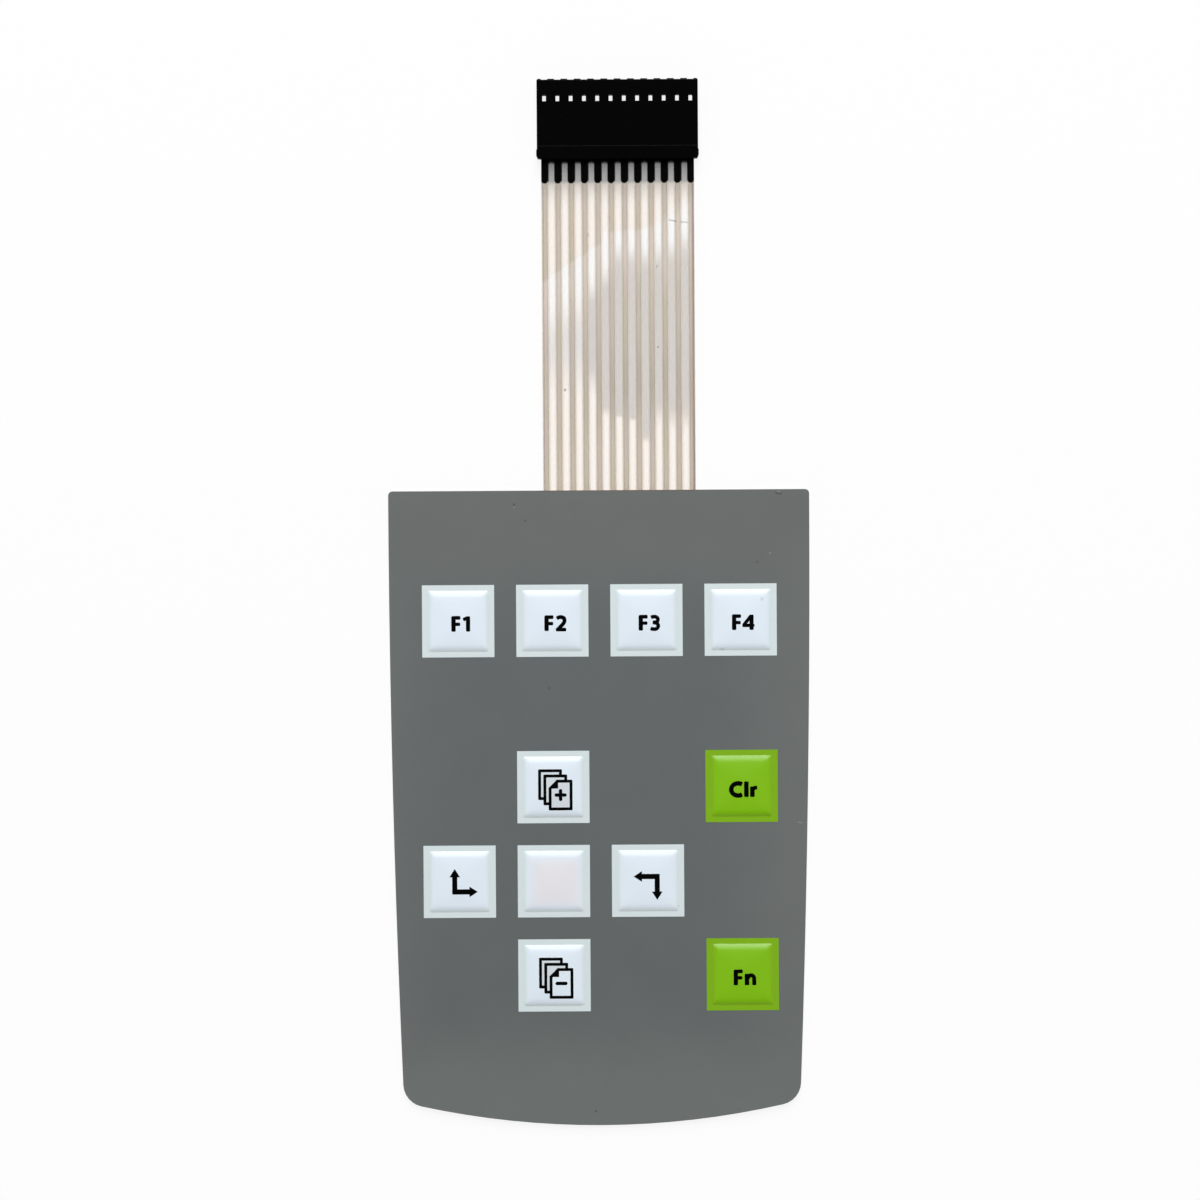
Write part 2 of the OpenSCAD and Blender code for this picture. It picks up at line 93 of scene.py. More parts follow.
# Noise of the surfaces: its fineness, how far it is drawn out and which of its levels count.
CLOUD_DETAIL = 3.0
GRAIN_DETAIL = 2.0
GRAIN_RANGE = (0.25, 0.75)
SCUFF_DETAIL = 4.0
SCUFF_TURN_DEG = 24.0
SCUFF_STRETCH = (0.06, 1.0, 1.0)
SCUFF_SIZE = 0.5
SCUFF_LEVEL = 0.78
SCUFF_GAIN = 0.25
SCUFF_EDGE = 0.08
WAVER_DETAIL = 2.0
WAVER_STRETCH = (1.0, 0.4, 1.0)
# Marks: the least squared length, and a speck's half length and softness.
SHORTEST_MARK = 1e-6
SPECK_REACH = (0.02, 0.04)
SPECK_SOFT = 0.7
# Tint of the printed lines: its step from line to line, its drift along them and its range.
TINT_APART = 3.7
TINT_DRIFT = 0.06
TINT_RANGE = (0.3, 0.7)


def seen(red: int, green: int, blue: int) -> Rgb:
    """Turns a colour as a screen shows it into linear light.

    Args:
        red: Red from 0 to 255.
        green: Green from 0 to 255.
        blue: Blue from 0 to 255.

    Returns:
        The linear colour, from 0 to 1.
    """
    def linear(level: int) -> float:
        """Undoes the screen's transfer curve for one channel.

        Args:
            level: The channel's level on the screen.

        Returns:
            Its linear light.
        """
        share = level / FULL_LEVEL
        if share <= FOOT_END:
            return share / FOOT_SLOPE
        return ((share + CURVE_SHIFT) / (1 + CURVE_SHIFT)) ** CURVE_POWER

    return linear(red), linear(green), linear(blue)


class Graph:
    """Adds nodes to one node tree and links them."""

    def __init__(self, tree: bpy.types.NodeTree) -> None:
        """Takes the tree that the nodes go into."""
        self.tree = tree

    def feed(self, socket: bpy.types.NodeSocket, value: Feed) -> None:
        """Links a socket to an input, or sets the input's own value.

        Args:
            socket: The input.
            value: The socket or value that it gets.
        """
        if isinstance(value, bpy.types.NodeSocket):
            self.tree.links.new(value, socket)
        else:
            socket.default_value = value

    def add(self, kind: str, inputs: dict[str | int, Feed] | None = None,
            **settings: object) -> bpy.types.Node:
        """Adds one node.

        Args:
            kind: Blender's name of the node type.
            inputs: Values or sockets for its inputs, by name or place.
            settings: Properties of the node.

        Returns:
            The new node.
        """
        node = self.tree.nodes.new(kind)
        for name, value in settings.items():
            setattr(node, name, value)
        for key, value in (inputs or {}).items():
            self.feed(node.inputs[key], value)
        return node

    def group(self, tree: bpy.types.NodeTree, inputs: dict[str | int, Feed]) -> bpy.types.Node:
        """Places a shared group with its own values.

        Args:
            tree: The shared group.
            inputs: Values or sockets for its inputs.

        Returns:
            The group's node.
        """
        node = self.add("ShaderNodeGroup", node_tree=tree)
        for key, value in inputs.items():
            self.feed(node.inputs[key], value)
        return node

    def math(self, operation: str, first: Feed, second: Feed = 0.0) -> bpy.types.NodeSocket:
        """Adds one sum on two values and gives its result."""
        return self.add("ShaderNodeMath", {0: first, 1: second}, operation=operation).outputs[0]

    def swing(self, value: bpy.types.NodeSocket) -> bpy.types.NodeSocket:
        """Turns a value from 0 to 1 into one from -1 to 1."""
        return self.math("MULTIPLY", self.math("SUBTRACT", value, 0.5), 2.0)

    def ramp(self, value: Feed, low: Feed, high: Feed, start: Feed = 0.0,
             end: Feed = 1.0) -> bpy.types.NodeSocket:
        """Eases from start to end while the value goes from low to high."""
        sockets = {"Value": value, "From Min": low, "From Max": high, "To Min": start, "To Max": end}
        return self.add("ShaderNodeMapRange", sockets, interpolation_type="SMOOTHSTEP").outputs[0]

    def blend(self, share: Feed, first: Rgb | bpy.types.NodeSocket,
              second: Rgb | bpy.types.NodeSocket, kind: str = "MIX") -> bpy.types.NodeSocket:
        """Mixes two colours.

        Args:
            share: Share of the second colour.
            first: First colour.
            second: Second colour.
            kind: Blend mode.

        Returns:
            The mixed colour's socket.
        """
        node = self.add("ShaderNodeMix", data_type="RGBA", blend_type=kind)
        self.feed(node.inputs[0], share)
        for place, colour in ((MIX_FIRST, first), (MIX_SECOND, second)):
            self.feed(node.inputs[place], (*colour, 1.0) if isinstance(colour, tuple) else colour)
        return node.outputs[MIX_RESULT]

    def millimetres(self) -> bpy.types.NodeSocket:
        """Gives the place on the object in millimetres."""
        place = self.add("ShaderNodeTexCoord").outputs["Object"]
        return self.scaled(place, 1 / MM)

    def scaled(self, vector: bpy.types.NodeSocket, factor: Feed) -> bpy.types.NodeSocket:
        """Gives a vector times a number."""
        return self.add("ShaderNodeVectorMath", {0: vector, "Scale": factor}, operation="SCALE").outputs[0]

    def vector(self, operation: str, first: Feed, second: Feed) -> bpy.types.Node:
        """Adds one sum on two vectors."""
        return self.add("ShaderNodeVectorMath", {0: first, 1: second}, operation=operation)

    def axes(self) -> tuple[bpy.types.NodeSocket, bpy.types.NodeSocket, bpy.types.NodeSocket]:
        """Gives X, Y and Z of the place on the object in millimetres."""
        node = self.add("ShaderNodeSeparateXYZ", {0: self.millimetres()})
        return node.outputs[0], node.outputs[1], node.outputs[2]


def new_group(name: str, inputs: Sequence[str],
              outputs: Sequence[str]) -> tuple[Graph, bpy.types.Node, bpy.types.Node]:
    """Starts a shared group of shader nodes.

    Args:
        name: Name of the group.
        inputs: Names of its number inputs.
        outputs: Names of its number outputs.

    Returns:
        The group's graph, its input node and its output node.
    """
    tree = bpy.data.node_groups.new(name, "ShaderNodeTree")
    for socket in inputs:
        tree.interface.new_socket(name=socket, in_out="INPUT", socket_type="NodeSocketFloat")
    for socket in outputs:
        tree.interface.new_socket(name=socket, in_out="OUTPUT", socket_type="NodeSocketFloat")
    graph = Graph(tree)
    return graph, graph.add("NodeGroupInput"), graph.add("NodeGroupOutput")


def mottle_group() -> bpy.types.NodeTree:
    """Builds the soft cloudy tone that every surface has.

    Returns:
        A group that gives a tone around 1.
    """
    graph, given, result = new_group("Mottle", ["Patch", "Spread"], ["Tone"])
    scale = graph.math("DIVIDE", 1.0, given.outputs["Patch"])
    cloud = graph.add("ShaderNodeTexNoise", {
        "Vector": graph.millimetres(), "Scale": scale, "Detail": CLOUD_DETAIL})
    change = graph.math("MULTIPLY", graph.swing(cloud.outputs[0]), given.outputs["Spread"])
    tone = graph.math("ADD", change, 1.0)
    graph.feed(result.inputs["Tone"], tone)
    return graph.tree


def grain_group() -> bpy.types.NodeTree:
    """Builds the fine texture of films, paper and mouldings.

    Returns:
        A group that gives a height from 0 to 1.
    """
    graph, given, result = new_group("Grain", ["Size"], ["Height"])
    scale = graph.math("DIVIDE", 1.0, given.outputs["Size"])
    grain = graph.add("ShaderNodeTexNoise", {
        "Vector": graph.millimetres(), "Scale": scale, "Detail": GRAIN_DETAIL})
    graph.feed(result.inputs["Height"], grain.outputs[0])
    return graph.tree


def scuff_group() -> bpy.types.NodeTree:
    """Builds sparse fine rubbing marks.

    Returns:
        A group that gives a mask of the marks.
    """
    graph, given, result = new_group("Scuffs", ["Width", "Cover"], ["Mask"])
    turn = graph.add("ShaderNodeVectorRotate", {
        "Vector": graph.millimetres(), "Angle": math.radians(SCUFF_TURN_DEG)}, rotation_type="Z_AXIS")
    drawn_out = graph.vector("MULTIPLY", turn.outputs[0], SCUFF_STRETCH)
    scale = graph.math("DIVIDE", SCUFF_SIZE, given.outputs["Width"])
    lines = graph.add("ShaderNodeTexNoise", {
        "Vector": drawn_out.outputs[0], "Scale": scale, "Detail": SCUFF_DETAIL})
    edge = graph.math("SUBTRACT", SCUFF_LEVEL, graph.math("MULTIPLY", given.outputs["Cover"], SCUFF_GAIN))
    full = graph.math("ADD", edge, SCUFF_EDGE)
    graph.feed(result.inputs["Mask"], graph.ramp(lines.outputs[0], edge, full))
    return graph.tree


def soft_box_group() -> bpy.types.NodeTree:
    """Builds a soft-edged rectangle for stains and hazy areas.

    Returns:
        A group that gives a mask, 1 inside the rectangle.
    """
    names = ["Middle X", "Middle Y", "Half X", "Half Y", "Slope", "Soft", "Top soft", "Side soft", "Waver",
             "Waver size"]
    graph, given, result = new_group("Soft box", names, ["Mask"])
    value = given.outputs
    x, y, _ = graph.axes()
    right = graph.math("SUBTRACT", x, value["Middle X"])
    climb = graph.math("MULTIPLY", right, value["Slope"])
    up = graph.math("SUBTRACT", graph.math("SUBTRACT", y, value["Middle Y"]), climb)
    down = graph.math("MULTIPLY", up, -1.0)
    drawn_out = graph.vector("MULTIPLY", graph.millimetres(), WAVER_STRETCH).outputs[0]
    scale = graph.math("DIVIDE", 1.0, value["Waver size"])
    cloud = graph.add("ShaderNodeTexNoise", {"Vector": drawn_out, "Scale": scale, "Detail": WAVER_DETAIL})
    shift = graph.math("MULTIPLY", graph.swing(cloud.outputs[0]), value["Waver"])
    aside = graph.math("ABSOLUTE", right)
    masks = []
    for off, half, soft in (
            (aside, "Half X", "Side soft"), (up, "Half Y", "Top soft"), (down, "Half Y", "Soft")):
        outside = graph.math("ADD", graph.math("SUBTRACT", off, value[half]), shift)
        inner = graph.math("MULTIPLY", value[soft], -1.0)
        masks.append(graph.ramp(outside, inner, value[soft], 1.0, 0.0))
    graph.feed(result.inputs["Mask"], graph.math("MINIMUM", graph.math("MINIMUM", *masks[:2]), masks[2]))
    return graph.tree


def soft_line_group() -> bpy.types.NodeTree:
    """Builds a soft-edged straight mark for specks, scratches and nicks.

    Returns:
        A group that gives a mask, 1 on the mark.
    """
    names = ["Start X", "Start Y", "End X", "End Y", "Half width", "Soft"]
    graph, given, result = new_group("Soft line", names, ["Mask"])
    value = given.outputs
    x, y, _ = graph.axes()
    here, start, end = (graph.add("ShaderNodeCombineXYZ", {0: a, 1: b}).outputs[0] for a, b in (
        (x, y), (value["Start X"], value["Start Y"]), (value["End X"], value["End Y"])))
    way = graph.vector("SUBTRACT", end, start).outputs[0]
    off = graph.vector("SUBTRACT", here, start).outputs[0]
    squared = graph.vector("DOT_PRODUCT", way, way).outputs["Value"]
    length = graph.math("MAXIMUM", squared, SHORTEST_MARK)
    along = graph.math("DIVIDE", graph.vector("DOT_PRODUCT", off, way).outputs["Value"], length)
    along = graph.math("MINIMUM", graph.math("MAXIMUM", along, 0.0), 1.0)
    aside = graph.vector("SUBTRACT", off, graph.scaled(way, along)).outputs[0]
    distance = graph.add("ShaderNodeVectorMath", {0: aside}, operation="LENGTH").outputs["Value"]
    low = graph.math("SUBTRACT", value["Half width"], value["Soft"])
    high = graph.math("ADD", value["Half width"], value["Soft"])
    graph.feed(result.inputs["Mask"], graph.ramp(distance, low, high, 1.0, 0.0))
    return graph.tree


def lines_group() -> bpy.types.NodeTree:
    """Builds soft-edged lines along Y that repeat across the tail.

    Returns:
        A group that gives a mask, 1 on the lines, and a tint from 0 to 1 that differs from line to line.
    """
    graph, given, result = new_group("Printed lines", ["First X", "Pitch", "Near", "Far"], ["Mask", "Tint"])
    value = given.outputs
    x, y, _ = graph.axes()
    right = graph.math("SUBTRACT", x, value["First X"])
    count = graph.math("ADD", graph.math("DIVIDE", right, value["Pitch"]), 0.5)
    off = graph.math("ABSOLUTE", graph.math("SUBTRACT", graph.math("FRACT", count), 0.5))
    distance = graph.math("MULTIPLY", off, value["Pitch"])
    graph.feed(result.inputs["Mask"], graph.ramp(distance, value["Near"], value["Far"], 1.0, 0.0))
    line = graph.math("MULTIPLY", graph.math("FLOOR", count), TINT_APART)
    place = graph.add("ShaderNodeCombineXYZ", {0: line, 1: graph.math("MULTIPLY", y, TINT_DRIFT)})
    tint = graph.add("ShaderNodeTexNoise", {"Vector": place.outputs[0], "Scale": 1.0, "Detail": 1.0})
    graph.feed(result.inputs["Tint"], graph.ramp(tint.outputs[0], *TINT_RANGE))
    return graph.tree


MOTTLE = mottle_group()
GRAIN = grain_group()
SCUFFS = scuff_group()
SOFT_BOX = soft_box_group()
SOFT_LINE = soft_line_group()
PRINTED_LINES = lines_group()


@dataclass(frozen=True)
class Area:
    """A soft-edged rectangle on the object, in millimetres; a slope shears its upper and lower edges."""

    x: float
    y: float
    half_x: float
    half_y: float
    soft: float
    slope: float = 0.0
    top_soft: float | None = None
    side_soft: float | None = None
    waver: float = 0.0
    waver_size: float = 5.0

    def mask(self, graph: Graph) -> bpy.types.NodeSocket:
        """Places the shared rectangle in a material.

        Args:
            graph: The material's graph.

        Returns:
            The rectangle's mask.
        """
        top, side = (self.soft if own is None else own for own in (self.top_soft, self.side_soft))
        return graph.group(SOFT_BOX, {
            "Middle X": self.x, "Middle Y": self.y, "Half X": self.half_x, "Half Y": self.half_y,
            "Slope": self.slope, "Soft": self.soft, "Top soft": top, "Side soft": side,
            "Waver": self.waver, "Waver size": self.waver_size}).outputs["Mask"]


@dataclass(frozen=True)
class Line:
    """A soft-edged straight mark on the object, in millimetres; a speck is a very short one."""

    start: Point
    end: Point
    half: float
    soft: float = 0.08

    def mask(self, graph: Graph) -> bpy.types.NodeSocket:
        """Places the shared mark in a material and gives its mask."""
        return graph.group(SOFT_LINE, {
            "Start X": self.start[0], "Start Y": self.start[1], "End X": self.end[0], "End Y": self.end[1],
            "Half width": self.half, "Soft": self.soft}).outputs["Mask"]


def speck(x: float, y: float, half: float = 0.16) -> Line:
    """Makes a small round mark."""
    dx, dy = SPECK_REACH
    return Line((x - dx, y - dy), (x + dx, y + dy), half, half * SPECK_SOFT)


@dataclass(frozen=True)
class LineRow:
    """The tail's row of printed lines, full to the near distance from a line's middle, gone at the far."""

    first_x: float
    pitch: float
    near: float
    far: float

    def _place(self, graph: Graph) -> bpy.types.Node:
        """Places the shared lines in a material."""
        return graph.group(PRINTED_LINES, {
            "First X": self.first_x, "Pitch": self.pitch, "Near": self.near, "Far": self.far})

    def mask(self, graph: Graph) -> bpy.types.NodeSocket:
        """Gives the mask of the lines."""
        return self._place(graph).outputs["Mask"]

    def tint(self, graph: Graph) -> bpy.types.NodeSocket:
        """Gives a share that differs from line to line."""
        return self._place(graph).outputs["Tint"]


@dataclass(frozen=True)
class Overlap:
    """The part of a row of lines that lies in an area."""

    row: LineRow
    area: Area

    def mask(self, graph: Graph) -> bpy.types.NodeSocket:
        """Gives the mask where both are."""
        return graph.math("MULTIPLY", self.row.mask(graph), self.area.mask(graph))


Marking = Area | Line | LineRow | Overlap


def widest(graph: Graph, markings: Sequence[Marking]) -> bpy.types.NodeSocket:
    """Joins the masks of several markings into one.

    Args:
        graph: The material's graph.
        markings: The markings.

    Returns:
        The mask, 1 where any of them is.
    """
    joined = markings[0].mask(graph)
    for marking in markings[1:]:
        joined = graph.math("MAXIMUM", joined, marking.mask(graph))
    return joined


@dataclass(frozen=True)
class Patch:
    """Soft areas of a surface that have another colour."""

    areas: tuple[Marking, ...]
    colour: Rgb
    share: float = 1.0


@dataclass(frozen=True)
class Finish:
    """A surface with a cloudy tone, a fine grain and rubbing marks. Lengths are in millimetres."""

    name: str
    colour: Rgb
    roughness: float
    patch: float = 14.0
    tone_spread: float = 0.03
    grain: float = 0.12
    grain_depth: float = 0.002
    roughness_spread: float = 0.08
    specular: float = 0.5
    metallic: float = 0.0
    scuff_width: float = 0.05
    scuff_cover: float = 0.1
    scuff_lift: float = 0.06
    patches: tuple[Patch, ...] = ()

    def ground(self, graph: Graph) -> bpy.types.NodeSocket | Rgb:
        """Gives the colour under the patches."""
        return self.colour

    def paint(self, graph: Graph) -> bpy.types.NodeSocket | Rgb:
        """Gives the colour with its patches, before the cloudy tone.

        Args:
            graph: The material's graph.

        Returns:
            The colour or its socket.
        """
        colour = self.ground(graph)
        for patch in self.patches:
            share = graph.math("MULTIPLY", widest(graph, patch.areas), patch.share)
            colour = graph.blend(share, colour, patch.colour)
        return colour

    def opacity(self, graph: Graph) -> bpy.types.NodeSocket | None:
        """Gives the share of the surface that hides what is behind it, or None where it hides all."""
        return None

    def material(self) -> bpy.types.Material:
        """Builds the material, or finds it where it is already made.

        Returns:
            The material.
        """
        made = bpy.data.materials.get(self.name)
        if made:
            return made
        made = bpy.data.materials.new(self.name)
        made.use_nodes = True
        graph = Graph(made.node_tree)
        shader = made.node_tree.nodes["Principled BSDF"]
        shader.inputs["Specular IOR Level"].default_value = self.specular
        shader.inputs["Metallic"].default_value = self.metallic
        tone = graph.group(MOTTLE, {"Patch": self.patch, "Spread": self.tone_spread}).outputs["Tone"]
        grain = graph.group(GRAIN, {"Size": self.grain}).outputs["Height"]
        scuffs = graph.group(SCUFFS, {"Width": self.scuff_width, "Cover": self.scuff_cover}).outputs["Mask"]
        toned = graph.blend(1.0, self.paint(graph), tone, "MULTIPLY")
        lifted = graph.math("MULTIPLY", scuffs, self.scuff_lift)
        graph.feed(shader.inputs["Base Color"], graph.blend(lifted, toned, WHITE))
        uneven = graph.ramp(grain, *GRAIN_RANGE, self.roughness - self.roughness_spread,
                            self.roughness + self.roughness_spread)
        graph.feed(shader.inputs["Roughness"], graph.math("ADD", uneven, lifted))
        bump = graph.add("ShaderNodeBump", {"Distance": self.grain_depth * MM, "Height": grain})
        graph.feed(shader.inputs["Normal"], bump.outputs[0])
        opacity = self.opacity(graph)
        if opacity is not None:
            graph.feed(shader.inputs["Alpha"], opacity)
        return made


@dataclass(frozen=True)
class KeyFinish(Finish):
    """Printed key film, lighter where it rises over the embossed pad: painted light."""

    painted_pad_light: Rgb = WHITE
    foot_level: float = 1.1
    top_level: float = 1.35

    def ground(self, graph: Graph) -> bpy.types.NodeSocket:
        """Gives the border's colour and the pad's, which carries painted light.

        Args:
            graph: The material's graph.

        Returns:
            The colour's socket.
        """
        _, _, z = graph.axes()
        # Painted light: the colour lightens as the pad rises over the face.
        raised = graph.ramp(z, self.foot_level, self.top_level)
        return graph.blend(raised, self.colour, self.painted_pad_light)


@dataclass(frozen=True)
class FilmLayer:
    """Where a clear film has another colour and hides more or less of what is behind it."""

    areas: tuple[Marking, ...]
    colour: Rgb
    cover: float


@dataclass(frozen=True)
class FilmFinish(Finish):
    """Clear film: nearly all of what is behind it shows, except where one of its layers lies."""

    clear_cover: float = 0.1
    layers: tuple[FilmLayer, ...] = ()

    def ground(self, graph: Graph) -> bpy.types.NodeSocket | Rgb:
        """Gives the film's own colour and its layers'.

        Args:
            graph: The material's graph.

        Returns:
            The colour or its socket.
        """
        colour: bpy.types.NodeSocket | Rgb = self.colour
        for layer in self.layers:
            colour = graph.blend(widest(graph, layer.areas), colour, layer.colour)
        return colour

    def opacity(self, graph: Graph) -> bpy.types.NodeSocket | float:
        """Gives how much each face of the film hides.

        Args:
            graph: The material's graph.

        Returns:
            The cover, from 0 to 1, or its socket.
        """
        cover: bpy.types.NodeSocket | float = self.clear_cover
        for layer in self.layers:
            cover = graph.ramp(widest(graph, layer.areas), 0.0, 1.0, cover, layer.cover)
        return cover


@dataclass(frozen=True)
class ConductorFinish(Finish):
    """Printed silver lines whose edges bleed softly into the film."""

    lines: LineRow = LineRow(0.0, 2.54, 0.4, 0.6)
    other_tint: Rgb = (0.5, 0.5, 0.5)
    cover: float = 0.9

    def ground(self, graph: Graph) -> bpy.types.NodeSocket:
        """Gives the lines' colour, which drifts a little from line to line."""
        return graph.blend(self.lines.tint(graph), self.colour, self.other_tint)

    def opacity(self, graph: Graph) -> bpy.types.NodeSocket:
        """Gives the ink's cover, which fades out at each line's edges."""
        return graph.math("MULTIPLY", self.lines.mask(graph), self.cover)


@dataclass
class Shell:
    """Points and faces of one piece, in millimetres."""

    points: list[tuple[float, float, float]]
    faces: list[tuple[int, ...]]

    @classmethod
    def empty(cls) -> "Shell":
        """Starts a piece with nothing in it."""
        return cls([], [])

    def add_sheet(self, flat: Sequence[Point], faces: Sequence[Sequence[int]], top: Height,
                  bottom: Height) -> None:
        """Adds a closed sheet between two heights.

        Args:
            flat: Points of the sheet in plan.
            faces: Faces of the sheet in plan, counter-clockwise.
            top: Height of the upper face.
            bottom: Height of the lower face.
        """
        used = sorted({i for face in faces for i in face})
        upper = {old: len(self.points) + new for new, old in enumerate(used)}
        self.points += [(*flat[i], top(*flat[i])) for i in used]
        lower = {old: len(self.points) + new for new, old in enumerate(used)}
        self.points += [(*flat[i], bottom(*flat[i])) for i in used]
        edges = {(face[k - 1], face[k]) for face in faces for k in range(len(face))}
        self.faces += [tuple(upper[i] for i in face) for face in faces]
        self.faces += [tuple(lower[i] for i in reversed(face)) for face in faces]
        self.faces += [(upper[b], upper[a], lower[a], lower[b]) for a, b in edges if (b, a) not in edges]

    def piece(self, name: str, finish: Finish, slot: str, smooth_deg: float = 35.0) -> bpy.types.Object:
        """Makes the Blender object, dresses it and lets it ride on the root body.

        Args:
            name: Name of the piece.
            finish: Its finish.
            slot: Not used.
            smooth_deg: Edges sharper than this stay sharp.

        Returns:
            The new object.
        """
        mesh = bpy.data.meshes.new(name)
        mesh.from_pydata([Vector(p) * MM for p in self.points], [], self.faces)
        mesh.validate()
        mesh.shade_smooth()
        mesh.set_sharp_from_angle(angle=math.radians(smooth_deg))
        mesh.materials.append(finish.material())
        piece = bpy.data.objects.new(name, mesh)
        bpy.context.scene.collection.objects.link(piece)
        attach(piece, ROOT)
        LOG.info("%s: %d faces", name, len(self.faces))
        return piece


def fill(loops: Sequence[Loop], inner: Sequence[Point] = ()) -> tuple[list[Point], list[list[int]]]:
    """Joins overlapping closed outlines into one flat area of triangles.

    Args:
        loops: Closed outlines, each without crossings.
        inner: More points inside the area.

    Returns:
        The points and the triangles inside any of the outlines.
    """
    points: list[Vector] = []
    faces: list[list[int]] = []
    for loop in loops:
        faces.append(list(range(len(points), len(points) + len(loop))))
        points += [Vector(p) for p in loop]
    points += [Vector(p) for p in inner]
    flat, _, triangles, _, _, sources = delaunay_2d_cdt(
        points, [], faces, FILL_INSIDE, FILL_MERGE)
    kept = [list(triangle) for triangle, source in zip(triangles, sources) if source]
    return [(p.x, p.y) for p in flat], kept


def stepped(loop: Loop, step: float) -> Loop:
    """Divides the sides of a closed outline so that none is longer than the step.

    Args:
        loop: The outline.
        step: The longest side.

    Returns:
        The outline with more points.
    """
    divided: Loop = []
    for (x0, y0), (x1, y1) in zip(loop, loop[1:] + loop[:1]):
        count = max(1, math.ceil(math.dist((x0, y0), (x1, y1)) / step))
        divided += [(x0 + (x1 - x0) * k / count, y0 + (y1 - y0) * k / count) for k in range(count)]
    return divided


@dataclass(frozen=True)
class Stroke:
    """One line of a printed sign: a path with a width and softly rounded ends."""

    path: tuple[Point, ...]
    width: float
    corner: float
    corner_steps: int = 4

    def outline(self) -> Loop:
        """Draws the stroke's closed outline.

        Returns:
            The outline's points, counter-clockwise.
        """
        last = len(self.path) - 1
        half = self.width / 2
        corner = min(self.corner, half)
        along = [self._direction(max(i - 1, 0), min(i + 1, last)) for i in range(last + 1)]
        ends = self.path[0], self.path[last]
        bends = [(p, t) for p, t in zip(self.path, along) if min(math.dist(p, e) for e in ends) > corner]
        right = self._unfolded([(p[0] + t[1] * half, p[1] - t[0] * half) for p, t in bends])
        left = self._unfolded([(p[0] - t[1] * half, p[1] + t[0] * half) for p, t in bends])
        start = self._end(self.path[0], (-along[0][0], -along[0][1]), corner)
        end = self._end(self.path[last], along[last], corner)
        return start + right + end + left[::-1]

    def _unfolded(self, side: Loop) -> Loop:
        """Drops the points of a side that a tight bend folds back over the stroke."""
        clear = self.width / 2 * FOLD_CLEAR
        return [p for p in side if min(math.dist(p, q) for q in self.path) > clear]

    def _direction(self, i: int, j: int) -> Point:
        """Gives the unit direction from one point of the path to another."""
        length = math.dist(self.path[i], self.path[j])
        return (self.path[j][0] - self.path[i][0]) / length, (self.path[j][1] - self.path[i][1]) / length

    def _end(self, tip: Point, ahead: Point, corner: float) -> Loop:
        """Rounds the two corners of an end.

        Args:
            tip: The path's last point.
            ahead: The direction out of the end.
            corner: Radius of the corners.

        Returns:
            The end's points, from its right to its left as seen along the stroke.
        """
        points: Loop = []
        reach = self.width / 2 - corner
        for side, first in ((-1, -QUARTER_TURN), (1, 0.0)):
            for k in range(self.corner_steps + 1):
                turn = math.radians(first + QUARTER_TURN * k / self.corner_steps)
                forward = corner * (math.cos(turn) - 1.0)
                across = side * reach + corner * math.sin(turn)
                points.append((tip[0] + ahead[0] * forward - ahead[1] * across,
                               tip[1] + ahead[1] * forward + ahead[0] * across))
        return points


def smooth_path(knots: Sequence[Point], steps: int = 5) -> tuple[Point, ...]:
    """Runs a smooth curve through a few points.

    Args:
        knots: Points that the curve passes.
        steps: Points from one knot to the next.

    Returns:
        The curve's points.
    """
    ends = [knots[0], *knots, knots[-1]]
    path: list[Point] = []
    for i in range(len(knots) - 1):
        before, a, b, after = (Vector(p) for p in ends[i:i + 4])
        for k in range(steps):
            t = k / steps
            at = ((2 * a) + (b - before) * t + (2 * before - 5 * a + 4 * b - after) * t * t
                  + (3 * a - before - 3 * b + after) * t ** 3) / 2
            path.append((at.x, at.y))
    return (*path, knots[-1])


def arc_path(middle: Point, radii: Point, start: float, end: float, steps: int = 16) -> tuple[Point, ...]:
    """Gives the points of an arc of an ellipse between two angles in degrees."""
    turns = [math.radians(start + (end - start) * k / steps) for k in range(steps + 1)]
    return tuple((middle[0] + radii[0] * math.cos(t), middle[1] + radii[1] * math.sin(t)) for t in turns)


@dataclass(frozen=True)
class Letter:
    """A letter or digit one unit tall: its strokes and how wide it is."""

    width: float
    strokes: tuple[Stroke, ...]


